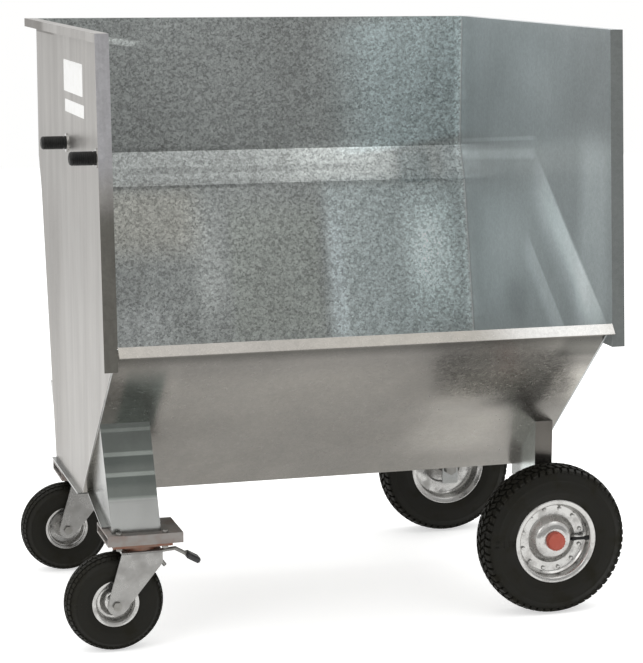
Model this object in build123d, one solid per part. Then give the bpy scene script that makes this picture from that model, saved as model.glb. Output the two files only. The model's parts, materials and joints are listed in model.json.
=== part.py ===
from build123d import *
import os
from collections import namedtuple
from math import hypot, sqrt

# Manure wagon: an open tub of folded galvanised sheet on two fixed wheels and two swivel castors.
# Drawn with X from the handle end to the wheel end, Y from the loading lip to the back, Z up
# from the floor, in millimetres. The finished pieces are moved so that the origin is on the floor
# under the middle of the whole wagon.

# Tub
TUB_LENGTH = 1248.0  # over the two end walls
TUB_WIDTH = 1125.0  # from the lip to the inside of the back wall, at the rim
RIM_HEIGHT = 1540.0
LIP_HEIGHT = 820.0
FLOOR_HEIGHT = 352.0  # top of the floor panel
PANEL_RUN = 505.0  # level distance from the lip to the foot of the sloped loading panel
FLOOR_DEPTH = 410.0
STEP_TOP = 1165.0  # the back wall steps inwards between these two heights
STEP_FOOT = 1072.0
STEP_DEPTH = 40.0
FRONT_SLANT = 60.0  # how far the front edges of the end walls lean back from lip to rim
SHEET = 3.0
LIP_FLANGE = 30.0
FRONT_FLANGE = 30.0
FRONT_TAIL = 58.0  # how far the front flanges run on below the lip
RIM_WIDTH = 28.0
RIM_DROP = 22.0

# Legs and the rail under the handle end
LEG_FOOT = 304.0  # height at which the castor legs stand on their base plates
LEG_SHEET = 4.0
BACK_LEG_TOP = 540.0
CASTOR_LEG_INSET = 29.0  # of the legs' feet from the handle end wall
CASTOR_LEG_WIDTH = 124.0
CASTOR_LEG_DEPTH = 56.0
CASTOR_LEG_LEAN = 22.0  # how far the legs lean towards the handle end, up to BACK_LEG_TOP
LEG_EDGE = 16.0  # width of the turned-out lower edge of the legs' side plates
BASE_PLATE_INSET = 14.0
BASE_PLATE_LENGTH = 190.0
BASE_PLATE_DEPTH = 150.0
BASE_PLATE_SHIFT = 20.0  # from the swivel pins towards the middle of the wagon
BASE_PLATE_THICKNESS = 26.0  # over the box section
BASE_PLATE_WALL = 5.0
RAIL_WIDTH = 40.0
RAIL_EDGE = 12.0  # how far the rail stands out past the handle end wall
RAIL_SHEET = 4.0
RAIL_END_GAP = 2.0
AXLE_INSET = 40.0  # from the wheel end wall to the axle, along X
STRAP_WIDTH = 48.0
STRAP_THICKNESS = 6.0
STRAP_TAIL = 45.0  # strap below the axle
AXLE_LEG_FOOT = 322.0  # where the side flanges of the axle legs end

# Castors
SWIVEL_INSET = 102.0  # from the handle end wall to the swivel pins, along X
CASTOR_TRAIL = 66.0
HEAD_LENGTH = 150.0
HEAD_DEPTH = 110.0
HEAD_THICKNESS = 6.0
RACE_RADIUS = 46.0
RACE_HEIGHT = 11.0
KINGPIN_RADIUS = 10.0
KINGPIN_HEAD_RADIUS = 16.0
KINGPIN_HEAD_HEIGHT = 8.0
FORK_SHEET = 5.0
FORK_REAR = 52.0  # crown behind the swivel pin, over the wheel
FORK_FRONT = 50.0
FORK_EYE_RADIUS = 24.0
FORK_KNEE_DROP = 32.0
FORK_BEND = 6.0
BOLT_HEAD_RADIUS = 12.0
BOLT_HEAD_HEIGHT = 8.0
LEVER_RADIUS = 5.0
LEVER_ROOT_DROP = 11.0
LEVER_ROOT_REACH = 38.0
LEVER_CREST_REACH = 92.0
LEVER_REACH = 120.0
LEVER_RISE = 4.0
LEVER_FALL = 16.0
LEVER_HEEL_REACH = 66.0  # the lever's short lower arm ends here
LEVER_HEEL_DROP = 38.0
PEDAL_LENGTH = 38.0
PEDAL_WIDTH = 40.0
PEDAL_THICKNESS = 15.0
PEDAL_EDGE = 4.0

# Handles
HANDLE_HEIGHT = 1240.0
HANDLE_RADIUS = 12.5
HANDLE_REACH = 62.0
HANDLE_FLANGE_RADIUS = 24.0
HANDLE_FLANGE_THICKNESS = 4.0
GRIP_WALL = 4.5
GRIP_END = 6.0

# Stub axles and hub caps
COLLAR_RADIUS = 22.0
COLLAR_LENGTH = 8.0
AXLE_NUT_RADIUS = 18.0
AXLE_NUT_HEIGHT = 12.0
CAP_RADIUS = 25.0
CAP_WALL = 4.0

# Clearances
RUNNING_FIT = 0.08  # radial, between a turning piece and its pin
SEAT_GAP = 0.3  # between faces that turn or curve past each other
FORK_CLEARANCE = 7.0  # each side of a castor tyre
STRAP_CLEARANCE = 8.0  # between a main tyre and its strap
CAP_CLEARANCE = 2.0  # over the axle nut

# Wheels. Axial places are measured from the middle of the tyre, positive to the outer side.
Wheel = namedtuple(
    "Wheel", "tyre_radius tyre_width tread_width shoulder_drop rim_width rim_radius barrel"
    " disc_place disc dome_radius dome_height crown_radius hub_radius pin_radius")
MAIN_WHEEL = Wheel(
    tyre_radius=200.0, tyre_width=100.0, tread_width=74.0, shoulder_drop=20.0, rim_width=88.0,
    rim_radius=113.0, barrel=16.0, disc_place=9.0, disc=5.0, dome_radius=62.0, dome_height=27.0,
    crown_radius=31.0, hub_radius=21.0, pin_radius=12.5)
CASTOR_WHEEL = Wheel(
    tyre_radius=125.0, tyre_width=78.0, tread_width=78.0, shoulder_drop=0.0, rim_width=62.0,
    rim_radius=61.0, barrel=14.0, disc_place=4.0, disc=4.0, dome_radius=47.0, dome_height=12.0,
    crown_radius=16.0, hub_radius=16.0, pin_radius=8.0)

# Sides: outward is the sign of Y that points away from the tub.
Side = namedtuple("Side", "name outward castor_y wheel_y handle_y")
SIDES = [
    Side("loading", -1, 278.0, 280.0, 216.0),
    Side("back", 1, 1011.0, 1132.0, 645.0),
]

AXLE_X = TUB_LENGTH - AXLE_INSET
FORK_GAP = CASTOR_WHEEL.tyre_width + 2 * FORK_CLEARANCE
FORK_WIDTH = FORK_GAP + 2 * FORK_SHEET
HEAD_TOP = LEG_FOOT - BASE_PLATE_THICKNESS
RACE_TOP = HEAD_TOP - HEAD_THICKNESS
CROWN_TOP = RACE_TOP - RACE_HEIGHT - SEAT_GAP
CROWN_FOOT = CROWN_TOP - FORK_SHEET
STRAP_OFFSET = MAIN_WHEEL.tyre_width / 2 + STRAP_CLEARANCE
MAIN_HUB_IN = STRAP_OFFSET - COLLAR_LENGTH - SEAT_GAP
CASTOR_HUB = FORK_GAP / 2 - SEAT_GAP
CAP_SEAT = MAIN_WHEEL.disc_place + MAIN_WHEEL.dome_height
CAP_END = CAP_SEAT + SEAT_GAP + AXLE_NUT_HEIGHT + CAP_CLEARANCE
GRIP_RADIUS = HANDLE_RADIUS + GRIP_WALL


def folded(line, thickness):
    """Returns the line moved by the thickness to its right-hand side, with mitred corners."""
    normals = []
    for (y0, z0), (y1, z1) in zip(line, line[1:]):
        run = hypot(y1 - y0, z1 - z0)
        normals.append(((z1 - z0) / run, (y0 - y1) / run))
    moved = []
    for place, (y, z) in enumerate(line):
        a = normals[max(place - 1, 0)]
        b = normals[min(place, len(normals) - 1)]
        share = thickness / (1 + a[0] * b[0] + a[1] * b[1])
        moved.append((y + share * (a[0] + b[0]), z + share * (a[1] + b[1])))
    return moved


def along(start, end, place, known):
    """Returns a point's other coordinate on the line start to end, from its known one."""
    other = 1 - known
    share = (place - start[known]) / (end[known] - start[known])
    return start[other] + share * (end[other] - start[other])


def outline_yz(points, x0, x1):
    """Extrudes an outline of (Y, Z) points from x0 to x1."""
    face = make_face(Polyline(*points, close=True))
    return Pos(x0, 0, 0) * extrude(Plane.YZ * face, amount=x1 - x0)


def outline_xy(points, z0, z1):
    """Extrudes an outline of (X, Y) points from z0 to z1."""
    return Pos(0, 0, z0) * extrude(make_face(Polyline(*points, close=True)), amount=z1 - z0)


def block(x0, x1, y0, y1, z0, z1):
    """Returns a box between two corners."""
    return Pos(x0, y0, z0) * Box(x1 - x0, y1 - y0, z1 - z0, align=(Align.MIN, Align.MIN, Align.MIN))


def rod_y(radius, y0, y1):
    """Returns a cylinder on the Y axis."""
    return Pos(0, (y0 + y1) / 2, 0) * Rot(90, 0, 0) * Cylinder(radius, abs(y1 - y0))


def rod_z(radius, z0, z1):
    """Returns a cylinder on the Z axis."""
    return Pos(0, 0, (z0 + z1) / 2) * Cylinder(radius, abs(z1 - z0))


def turned(points):
    """Turns an outline of (radius, axial place) points about the Y axis, skipping repeated ones."""
    corners = [point for point, after in zip(points, points[1:] + points[:1]) if point != after]
    return revolve(make_face(Polyline(*corners, close=True)), Axis.Y)


# The tub's section, from the edge of the folded lip round to the rim of the back wall.
lip = (0.0, LIP_HEIGHT)
panel_foot = (PANEL_RUN, FLOOR_HEIGHT)
panel_length = hypot(PANEL_RUN, LIP_HEIGHT - FLOOR_HEIGHT)
lip_edge = (
    -LIP_FLANGE * (LIP_HEIGHT - FLOOR_HEIGHT) / panel_length,
    LIP_HEIGHT - LIP_FLANGE * PANEL_RUN / panel_length,
)
section = [
    lip_edge,
    lip,
    panel_foot,
    (PANEL_RUN + FLOOR_DEPTH, FLOOR_HEIGHT),
    (TUB_WIDTH - STEP_DEPTH, STEP_FOOT),
    (TUB_WIDTH, STEP_TOP),
    (TUB_WIDTH, RIM_HEIGHT),
]
skin = folded(section, SHEET)


def panel_z(y):
    """Height of the loading panel's outside at y."""
    return along(skin[1], skin[2], y, 0)


def back_y(z):
    """Place of the back wall's outside at z, below the step."""
    return along(skin[3], skin[4], z, 1)


def front_y(z):
    """Place of the end walls' front edge at z."""
    return (z - LIP_HEIGHT) * FRONT_SLANT / (RIM_HEIGHT - LIP_HEIGHT)


def tub_panel(first, last):
    """Returns the folded sheet between two points of the section, laid between the end walls."""
    points = section[first:last + 1] + skin[first:last + 1][::-1]
    return outline_yz(points, SHEET, TUB_LENGTH - SHEET)


def rim_fold(inner, outer, lipped):
    """Returns a level rim flange with its downturned edge, from plan outlines of both."""
    flange = outline_xy(inner, RIM_HEIGHT - SHEET, RIM_HEIGHT)
    return flange + outline_xy(outer + lipped[::-1], RIM_HEIGHT - RIM_DROP, RIM_HEIGHT)


def back_wall():
    """Returns the stepped back wall with its rim, mitred to the rims of the end walls."""
    wall_y = TUB_WIDTH + SHEET
    rim_y = wall_y + RIM_WIDTH
    outer = [(-RIM_WIDTH, rim_y), (TUB_LENGTH + RIM_WIDTH, rim_y)]
    lipped = [(SHEET - RIM_WIDTH, rim_y - SHEET), (TUB_LENGTH + RIM_WIDTH - SHEET, rim_y - SHEET)]
    flange = [(0, wall_y), (TUB_LENGTH, wall_y)] + outer[::-1]
    return tub_panel(3, 6) + rim_fold(flange, outer, lipped)


def end_wall():
    """Returns the handle end wall: the tub's section in sheet, with front flange and rim."""
    tail = LIP_HEIGHT - FRONT_TAIL
    top_y = front_y(RIM_HEIGHT)
    edge = [(top_y, RIM_HEIGHT), (front_y(tail), tail)]
    tab = (along(skin[1], skin[2], tail, 1), tail)
    plate = outline_yz(edge + [tab] + skin[2:], 0, SHEET)
    turned_edge = edge + [(y + SHEET, z) for y, z in edge[::-1]]
    flange = outline_yz(turned_edge, -FRONT_FLANGE, 0)
    wall_y = TUB_WIDTH + SHEET
    rim_y = wall_y + RIM_WIDTH
    outer = [(-RIM_WIDTH, top_y), (-RIM_WIDTH, rim_y)]
    lipped = [(SHEET - RIM_WIDTH, top_y), (SHEET - RIM_WIDTH, rim_y - SHEET)]
    rim = rim_fold([(0, top_y), (0, wall_y)] + outer[::-1], outer, lipped)
    return plate + flange + rim


def channel(side_outline, web_outline, x0, x1):
    """Returns a channel: a web across x0 to x1 between two side flanges."""
    web = outline_yz(web_outline, x0, x1)
    near = outline_yz(side_outline, x0, x0 + LEG_SHEET)
    far = outline_yz(side_outline, x1 - LEG_SHEET, x1)
    return web + near + far


def leaning(x0, x1, y0, y1, top):
    """Returns an upright from x0 to x1 at the castor legs' feet, leaning towards the handle end."""
    shift = CASTOR_LEG_LEAN * (top - LEG_FOOT) / (BACK_LEG_TOP - LEG_FOOT)
    points = [(x0, LEG_FOOT), (x1, LEG_FOOT), (x1 - shift, top), (x0 - shift, top)]
    face = Plane.XZ.offset(-y0) * make_face(Polyline(*points, close=True))
    return extrude(face, amount=y0 - y1)


def castor_leg(side):
    """Returns the leaning channel on a castor's base plate, with side plates under the tub."""
    web_y = side.castor_y + side.outward * CASTOR_LEG_DEPTH / 2
    inner_y = web_y - side.outward * LEG_SHEET
    open_y = web_y - side.outward * CASTOR_LEG_DEPTH
    if side.outward < 0:
        foot = skin[2]
        top = panel_z(web_y)
        outline = [(web_y, LEG_FOOT), (web_y, top), foot, (open_y, LEG_FOOT)]
    else:
        foot = skin[3]
        top = BACK_LEG_TOP
        outline = [(web_y, LEG_FOOT), (web_y, top), (back_y(top), top), foot, (open_y, LEG_FOOT)]
    x0 = CASTOR_LEG_INSET
    x1 = x0 + CASTOR_LEG_WIDTH
    web = leaning(x0, x1, min(web_y, inner_y), max(web_y, inner_y), top)
    ys = [y for y, _ in outline]
    near = leaning(x0, x0 + LEG_SHEET, min(ys), max(ys), top)
    far = leaning(x1 - LEG_SHEET, x1, min(ys), max(ys), top)
    lower = [foot, (open_y, LEG_FOOT)]
    strip = lower + folded(lower, -side.outward * LEG_SHEET)[::-1]
    turned_out = outline_yz(strip, x0 - LEG_EDGE, x0 + LEG_SHEET)
    return (web + near + far + turned_out) & outline_yz(outline, x0 - CASTOR_LEG_WIDTH, x1)


def axle_leg(side):
    """Returns the channel whose web runs on down as the strap that carries a stub axle."""
    strap_y = side.wheel_y - side.outward * STRAP_OFFSET
    inner_y = strap_y - side.outward * STRAP_THICKNESS
    strap_foot = MAIN_WHEEL.tyre_radius - STRAP_TAIL
    if side.outward < 0:
        foot = skin[2]
        upper = [(strap_y, panel_z(strap_y)), foot]
        web_top = [(strap_y, panel_z(strap_y)), (inner_y, panel_z(inner_y))]
    else:
        foot = skin[3]
        upper = [(strap_y, BACK_LEG_TOP), (back_y(BACK_LEG_TOP), BACK_LEG_TOP), foot]
        web_top = [(strap_y, BACK_LEG_TOP), (inner_y, BACK_LEG_TOP)]
    sides = [(strap_y, AXLE_LEG_FOOT)] + upper + [(foot[0], AXLE_LEG_FOOT)]
    web = [(strap_y, strap_foot)] + web_top + [(inner_y, strap_foot)]
    leg = channel(sides, web, AXLE_X - STRAP_WIDTH / 2, AXLE_X + STRAP_WIDTH / 2)
    eye = rod_y(MAIN_WHEEL.pin_radius + RUNNING_FIT, inner_y, strap_y)
    return leg - Pos(AXLE_X, 0, MAIN_WHEEL.tyre_radius) * eye


def end_rail():
    """Returns the flat rail under the foot of the handle end wall and the floor."""
    y0 = skin[2][0] + RAIL_END_GAP
    y1 = skin[3][0] - RAIL_END_GAP
    return block(-RAIL_EDGE, RAIL_WIDTH, y0, y1, skin[2][1] - RAIL_SHEET, skin[2][1])


def base_plate(side):
    """Returns the flat box section under a castor leg, open at its ends."""
    plate = Box(BASE_PLATE_LENGTH, BASE_PLATE_DEPTH, BASE_PLATE_THICKNESS)
    depth = BASE_PLATE_DEPTH - 2 * BASE_PLATE_WALL
    hollow = Box(BASE_PLATE_LENGTH, depth, BASE_PLATE_THICKNESS - 2 * BASE_PLATE_WALL)
    x = BASE_PLATE_INSET + BASE_PLATE_LENGTH / 2
    y = side.castor_y - side.outward * BASE_PLATE_SHIFT
    return Pos(x, y, HEAD_TOP + BASE_PLATE_THICKNESS / 2) * (plate - hollow)


def castor_head(side):
    """Returns a castor's top plate with its swivel race and kingpin."""
    plate = Pos(0, 0, HEAD_TOP - HEAD_THICKNESS / 2) * Box(HEAD_LENGTH, HEAD_DEPTH, HEAD_THICKNESS)
    race = rod_z(RACE_RADIUS, RACE_TOP - RACE_HEIGHT, RACE_TOP)
    head_top = CROWN_FOOT - SEAT_GAP
    pin = rod_z(KINGPIN_RADIUS, head_top, RACE_TOP)
    head = rod_z(KINGPIN_HEAD_RADIUS, head_top - KINGPIN_HEAD_HEIGHT, head_top)
    return Pos(SWIVEL_INSET, side.castor_y, 0) * (plate + race + pin + head)


def tangent_point(point, centre, radius, turn):
    """Returns where a line from the point touches a circle, on the side given by the sign turn."""
    dx, dz = point[0] - centre[0], point[1] - centre[1]
    square = dx * dx + dz * dz
    run = radius * sqrt(square - radius * radius)
    return (
        centre[0] + (radius * radius * dx - turn * run * dz) / square,
        centre[1] + (radius * radius * dz + turn * run * dx) / square,
    )


def castor_fork(side):
    """Returns a pressed fork: two cheeks that narrow to the wheel bolt, under a drilled crown."""
    eye = (-CASTOR_TRAIL, CASTOR_WHEEL.tyre_radius)
    rear = (-FORK_REAR, CROWN_TOP)
    front = (FORK_FRONT, CROWN_TOP)
    knee = (FORK_FRONT, CROWN_TOP - FORK_KNEE_DROP)
    heel = tangent_point(knee, eye, FORK_EYE_RADIUS, -1)
    back = tangent_point(rear, eye, FORK_EYE_RADIUS, 1)
    edge = Polyline(back, rear, front, knee, heel)
    bottom = (eye[0], eye[1] - FORK_EYE_RADIUS)
    cheek = make_face(edge + ThreePointArc(heel, bottom, back))
    upright = Plane(origin=(0, 0, 0), x_dir=(1, 0, 0), z_dir=(0, -1, 0))
    blank = extrude(upright * cheek, amount=FORK_WIDTH / 2, both=True)
    top_edges = blank.edges().filter_by(Axis.X).group_by(Axis.Z)[-1]
    blank = fillet(top_edges, FORK_BEND)
    reach = FORK_REAR + FORK_FRONT + 2 * CASTOR_WHEEL.tyre_radius
    hollow = block(-reach, reach, -FORK_GAP / 2, FORK_GAP / 2, -CROWN_TOP, CROWN_FOOT)
    bolt_hole = Pos(eye[0], 0, eye[1]) * rod_y(
        CASTOR_WHEEL.pin_radius + RUNNING_FIT, -FORK_WIDTH, FORK_WIDTH)
    pin_hole = rod_z(KINGPIN_RADIUS + RUNNING_FIT, CROWN_FOOT - FORK_SHEET, CROWN_TOP + FORK_SHEET)
    return Pos(SWIVEL_INSET, side.castor_y, 0) * (blank - hollow - bolt_hole - pin_hole)


def castor_bolt(side):
    """Returns the bolt that a castor wheel turns on, with its head and nut outside the fork."""
    half = FORK_WIDTH / 2
    shank = rod_y(CASTOR_WHEEL.pin_radius, -half - BOLT_HEAD_HEIGHT, half + BOLT_HEAD_HEIGHT)
    hexagon = RegularPolygon(BOLT_HEAD_RADIUS, 6)
    head = extrude(Plane.XZ.offset(half) * hexagon, amount=BOLT_HEAD_HEIGHT)
    nut = extrude(Plane.XZ.offset(-half) * hexagon, amount=-BOLT_HEAD_HEIGHT)
    place = Pos(SWIVEL_INSET - CASTOR_TRAIL, side.castor_y, CASTOR_WHEEL.tyre_radius)
    return place * (shank + head + nut)


def lever_route():
    """Returns the brake lever's route in (X, Z), from its cross pin to its pedal."""
    root = (LEVER_ROOT_REACH, CROWN_FOOT - LEVER_ROOT_DROP)
    crest = (LEVER_CREST_REACH, root[1] + LEVER_RISE)
    end = (LEVER_REACH, crest[1] - LEVER_FALL)
    return root, crest, end


def bent_rod(route):
    """Returns a round rod along a route of (X, Z) points, with mitred bends."""
    path = Polyline(*[(x, 0, z) for x, z in route])
    start = Plane(origin=path @ 0, z_dir=path % 0)
    return sweep(start * Circle(LEVER_RADIUS), path, transition=Transition.RIGHT)


def brake_lever(side):
    """Returns a castor's brake lever: a cross pin between the cheeks, a bent rod and a heel."""
    route = lever_route()
    root = route[0]
    cross = Pos(root[0], 0, root[1]) * rod_y(LEVER_RADIUS, -FORK_GAP / 2, FORK_GAP / 2)
    heel = bent_rod([root, (LEVER_HEEL_REACH, root[1] - LEVER_HEEL_DROP)])
    return Pos(SWIVEL_INSET, side.castor_y, 0) * (cross + bent_rod(route) + heel)


def brake_pedal(side):
    """Returns the moulded pedal on the end of a brake lever."""
    _, crest, end = lever_route()
    fall = Vector(end[0] - crest[0], 0, end[1] - crest[1]).normalized()
    pad = Box(PEDAL_LENGTH, PEDAL_WIDTH, PEDAL_THICKNESS, align=(Align.MIN, Align.CENTER, Align.CENTER))
    pad = chamfer(pad.edges(), PEDAL_EDGE)
    frame = Plane(origin=(end[0], 0, end[1]), x_dir=fall, z_dir=fall.cross(Vector(0, 1, 0)))
    return Pos(SWIVEL_INSET, side.castor_y, 0) * frame.location * pad


def wheel_rim(wheel, hub_in, hub_out):
    """Returns a pressed rim: hub, domed disc and barrel, turned in one section."""
    bore = wheel.pin_radius + RUNNING_FIT
    inside = wheel.rim_radius - wheel.barrel
    half = wheel.rim_width / 2
    foot = wheel.disc_place - wheel.disc
    top = wheel.disc_place + wheel.dome_height
    crown = [(wheel.crown_radius, top)]
    if hub_out > top:
        crown += [(wheel.hub_radius, top), (wheel.hub_radius, hub_out)]
    return turned([
        (bore, hub_out), (bore, -hub_in),
        (wheel.hub_radius, -hub_in), (wheel.hub_radius, top - wheel.disc),
        (wheel.dome_radius, foot), (inside, foot),
        (inside, -half), (wheel.rim_radius, -half),
        (wheel.rim_radius, half), (inside, half),
        (inside, wheel.disc_place), (wheel.dome_radius, wheel.disc_place),
    ] + crown)


def wheel_tyre(wheel):
    """Returns a tyre: flat sides up to its shoulders, and the tread between them."""
    bore = wheel.rim_radius + SEAT_GAP
    half = wheel.tyre_width / 2
    shoulder = wheel.tyre_radius - wheel.shoulder_drop
    tread = wheel.tread_width / 2
    return turned([
        (bore, -half), (bore, half), (shoulder, half), (wheel.tyre_radius, tread),
        (wheel.tyre_radius, -tread), (shoulder, -half),
    ])


def faced(side, piece):
    """Returns a piece drawn with its outer side to +Y, turned to face away from the tub."""
    return piece if side.outward > 0 else Rot(0, 0, 180) * piece


def main_place(side, piece):
    """Returns a piece drawn about a main wheel's middle, moved to that wheel."""
    return Pos(AXLE_X, side.wheel_y, MAIN_WHEEL.tyre_radius) * faced(side, piece)


def castor_place(side, piece):
    """Returns a piece drawn about a castor wheel's middle, moved to that wheel."""
    return Pos(SWIVEL_INSET - CASTOR_TRAIL, side.castor_y, CASTOR_WHEEL.tyre_radius) * faced(side, piece)


def nut_y(radius, y0, y1):
    """Returns a hexagon nut on the Y axis."""
    return Pos(0, y0, 0) * extrude(Plane.ZX * RegularPolygon(radius, 6), amount=y1 - y0)


def stub_axle():
    """Returns a stub axle, bolted through its strap, with the nut that keeps the wheel on."""
    strap_back = -STRAP_OFFSET - STRAP_THICKNESS
    nut_foot = CAP_SEAT + SEAT_GAP
    shank = rod_y(MAIN_WHEEL.pin_radius, strap_back - AXLE_NUT_HEIGHT, nut_foot + AXLE_NUT_HEIGHT)
    collar = rod_y(COLLAR_RADIUS, -STRAP_OFFSET, COLLAR_LENGTH - STRAP_OFFSET)
    inner_nut = nut_y(AXLE_NUT_RADIUS, strap_back - AXLE_NUT_HEIGHT, strap_back)
    return shank + collar + inner_nut + nut_y(AXLE_NUT_RADIUS, nut_foot, nut_foot + AXLE_NUT_HEIGHT)


def hub_cap():
    """Returns the cap over the axle nut, seated on the crown of the rim's dome."""
    end = CAP_END + CAP_WALL
    cup = rod_y(CAP_RADIUS, CAP_SEAT, end)
    cup = chamfer(cup.edges().group_by(Axis.Y)[-1], CAP_WALL)
    return cup - rod_y(CAP_RADIUS - CAP_WALL, CAP_SEAT - CAP_WALL, CAP_END)


def rod_x(radius, x0, x1):
    """Returns a cylinder on the X axis."""
    return Pos((x0 + x1) / 2, 0, 0) * Rot(0, 90, 0) * Cylinder(radius, abs(x1 - x0))


def push_handle(side):
    """Returns a push handle: a bar with a round foot on the handle end wall."""
    bar = rod_x(HANDLE_RADIUS, -HANDLE_REACH, 0)
    foot = rod_x(HANDLE_FLANGE_RADIUS, -HANDLE_FLANGE_THICKNESS, 0)
    return Pos(0, side.handle_y, HANDLE_HEIGHT) * (bar + foot)


def handle_grip(side):
    """Returns the rubber grip pushed over a handle's bar."""
    tip = -HANDLE_REACH - GRIP_END
    grip = rod_x(GRIP_RADIUS, tip, -HANDLE_FLANGE_THICKNESS)
    grip = chamfer(grip.edges().group_by(Axis.X)[0], GRIP_END)
    bore = rod_x(HANDLE_RADIUS + RUNNING_FIT, -HANDLE_REACH, 0)
    return Pos(0, side.handle_y, HANDLE_HEIGHT) * (grip - bore)


handle_end_wall = end_wall()
nodes = {
    "back_wall": back_wall(),
    "handle_end_wall": handle_end_wall,
    "wheel_end_wall": mirror(handle_end_wall, about=Plane.YZ.offset(TUB_LENGTH / 2)),
    "loading_panel": tub_panel(0, 2),
    "floor_panel": tub_panel(2, 3),
    "handle_end_rail": end_rail(),
}
castor_rim = wheel_rim(CASTOR_WHEEL, CASTOR_HUB, CASTOR_HUB)
castor_tyre = wheel_tyre(CASTOR_WHEEL)
main_rim = wheel_rim(MAIN_WHEEL, MAIN_HUB_IN, CAP_SEAT)
main_tyre = wheel_tyre(MAIN_WHEEL)
for side in SIDES:
    pieces = {
        "castor_leg": castor_leg(side),
        "castor_base_plate": base_plate(side),
        "castor_head": castor_head(side),
        "castor_fork": castor_fork(side),
        "castor_bolt": castor_bolt(side),
        "brake_lever": brake_lever(side),
        "brake_pedal": brake_pedal(side),
        "castor_rim": castor_place(side, castor_rim),
        "castor_tyre": castor_place(side, castor_tyre),
        "axle_leg": axle_leg(side),
        "stub_axle": main_place(side, stub_axle()),
        "main_rim": main_place(side, main_rim),
        "main_tyre": main_place(side, main_tyre),
        "hub_cap": main_place(side, hub_cap()),
        "push_handle": push_handle(side),
        "handle_grip": handle_grip(side),
    }
    for name, piece in pieces.items():
        nodes[f"{name}_{side.name}"] = piece

corners = [piece.bounding_box() for piece in nodes.values()]
MIDDLE_X = (min(box.min.X for box in corners) + max(box.max.X for box in corners)) / 2
MIDDLE_Y = (min(box.min.Y for box in corners) + max(box.max.Y for box in corners)) / 2
os.makedirs("parts", exist_ok=True)
for name, piece in nodes.items():
    export_step(Pos(-MIDDLE_X, -MIDDLE_Y, 0) * piece, f"parts/{name}.step")
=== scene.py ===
import json
import logging
import math
from dataclasses import dataclass, field
from enum import Enum
from typing import Iterable, Sequence

import bmesh
import bpy
from mathutils import Matrix, Vector


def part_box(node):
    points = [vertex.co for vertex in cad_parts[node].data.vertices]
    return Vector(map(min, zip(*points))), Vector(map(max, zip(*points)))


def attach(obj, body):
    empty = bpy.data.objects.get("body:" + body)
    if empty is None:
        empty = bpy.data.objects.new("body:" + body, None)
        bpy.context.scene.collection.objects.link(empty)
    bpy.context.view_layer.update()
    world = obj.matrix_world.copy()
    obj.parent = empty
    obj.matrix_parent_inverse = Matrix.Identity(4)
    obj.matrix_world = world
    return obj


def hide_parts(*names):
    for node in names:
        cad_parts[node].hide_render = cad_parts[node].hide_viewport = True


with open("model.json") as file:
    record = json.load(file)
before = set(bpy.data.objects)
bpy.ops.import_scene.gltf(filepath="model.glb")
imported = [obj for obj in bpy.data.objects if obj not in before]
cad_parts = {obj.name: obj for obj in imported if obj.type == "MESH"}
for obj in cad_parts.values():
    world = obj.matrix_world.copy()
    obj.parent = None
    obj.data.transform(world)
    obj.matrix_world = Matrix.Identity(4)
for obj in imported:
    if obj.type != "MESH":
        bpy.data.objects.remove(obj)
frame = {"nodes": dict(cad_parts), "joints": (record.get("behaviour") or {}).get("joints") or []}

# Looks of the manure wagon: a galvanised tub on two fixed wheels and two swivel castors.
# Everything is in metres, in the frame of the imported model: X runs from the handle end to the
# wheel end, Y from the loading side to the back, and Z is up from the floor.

LOG = logging.getLogger("manure_wagon")
MM = 0.001
SMOOTH_ANGLE = math.radians(32.0)
MERGE_DISTANCE = 1e-6
Colour = tuple[float, float, float]
Point = tuple[float, float]
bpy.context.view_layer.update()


class Side(Enum):
    """The two long sides of the wagon, with the sign of Y that points away from the tub."""

    LOADING = -1
    BACK = 1

    @property
    def label(self) -> str:
        """The word that ends this side's node names."""
        return self.name.lower()

    def node(self, stem: str) -> str:
        """The name of this side's node."""
        return f"{stem}_{self.label}"


class Slot(Enum):
    """Names of the record's material slots."""

    TUB = "galvanised_tub"
    ZINC = "zinc_plate"
    TYRE = "tyre_rubber"
    GRIP = "grip_rubber"
    CAP = "cap_plastic"


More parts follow.
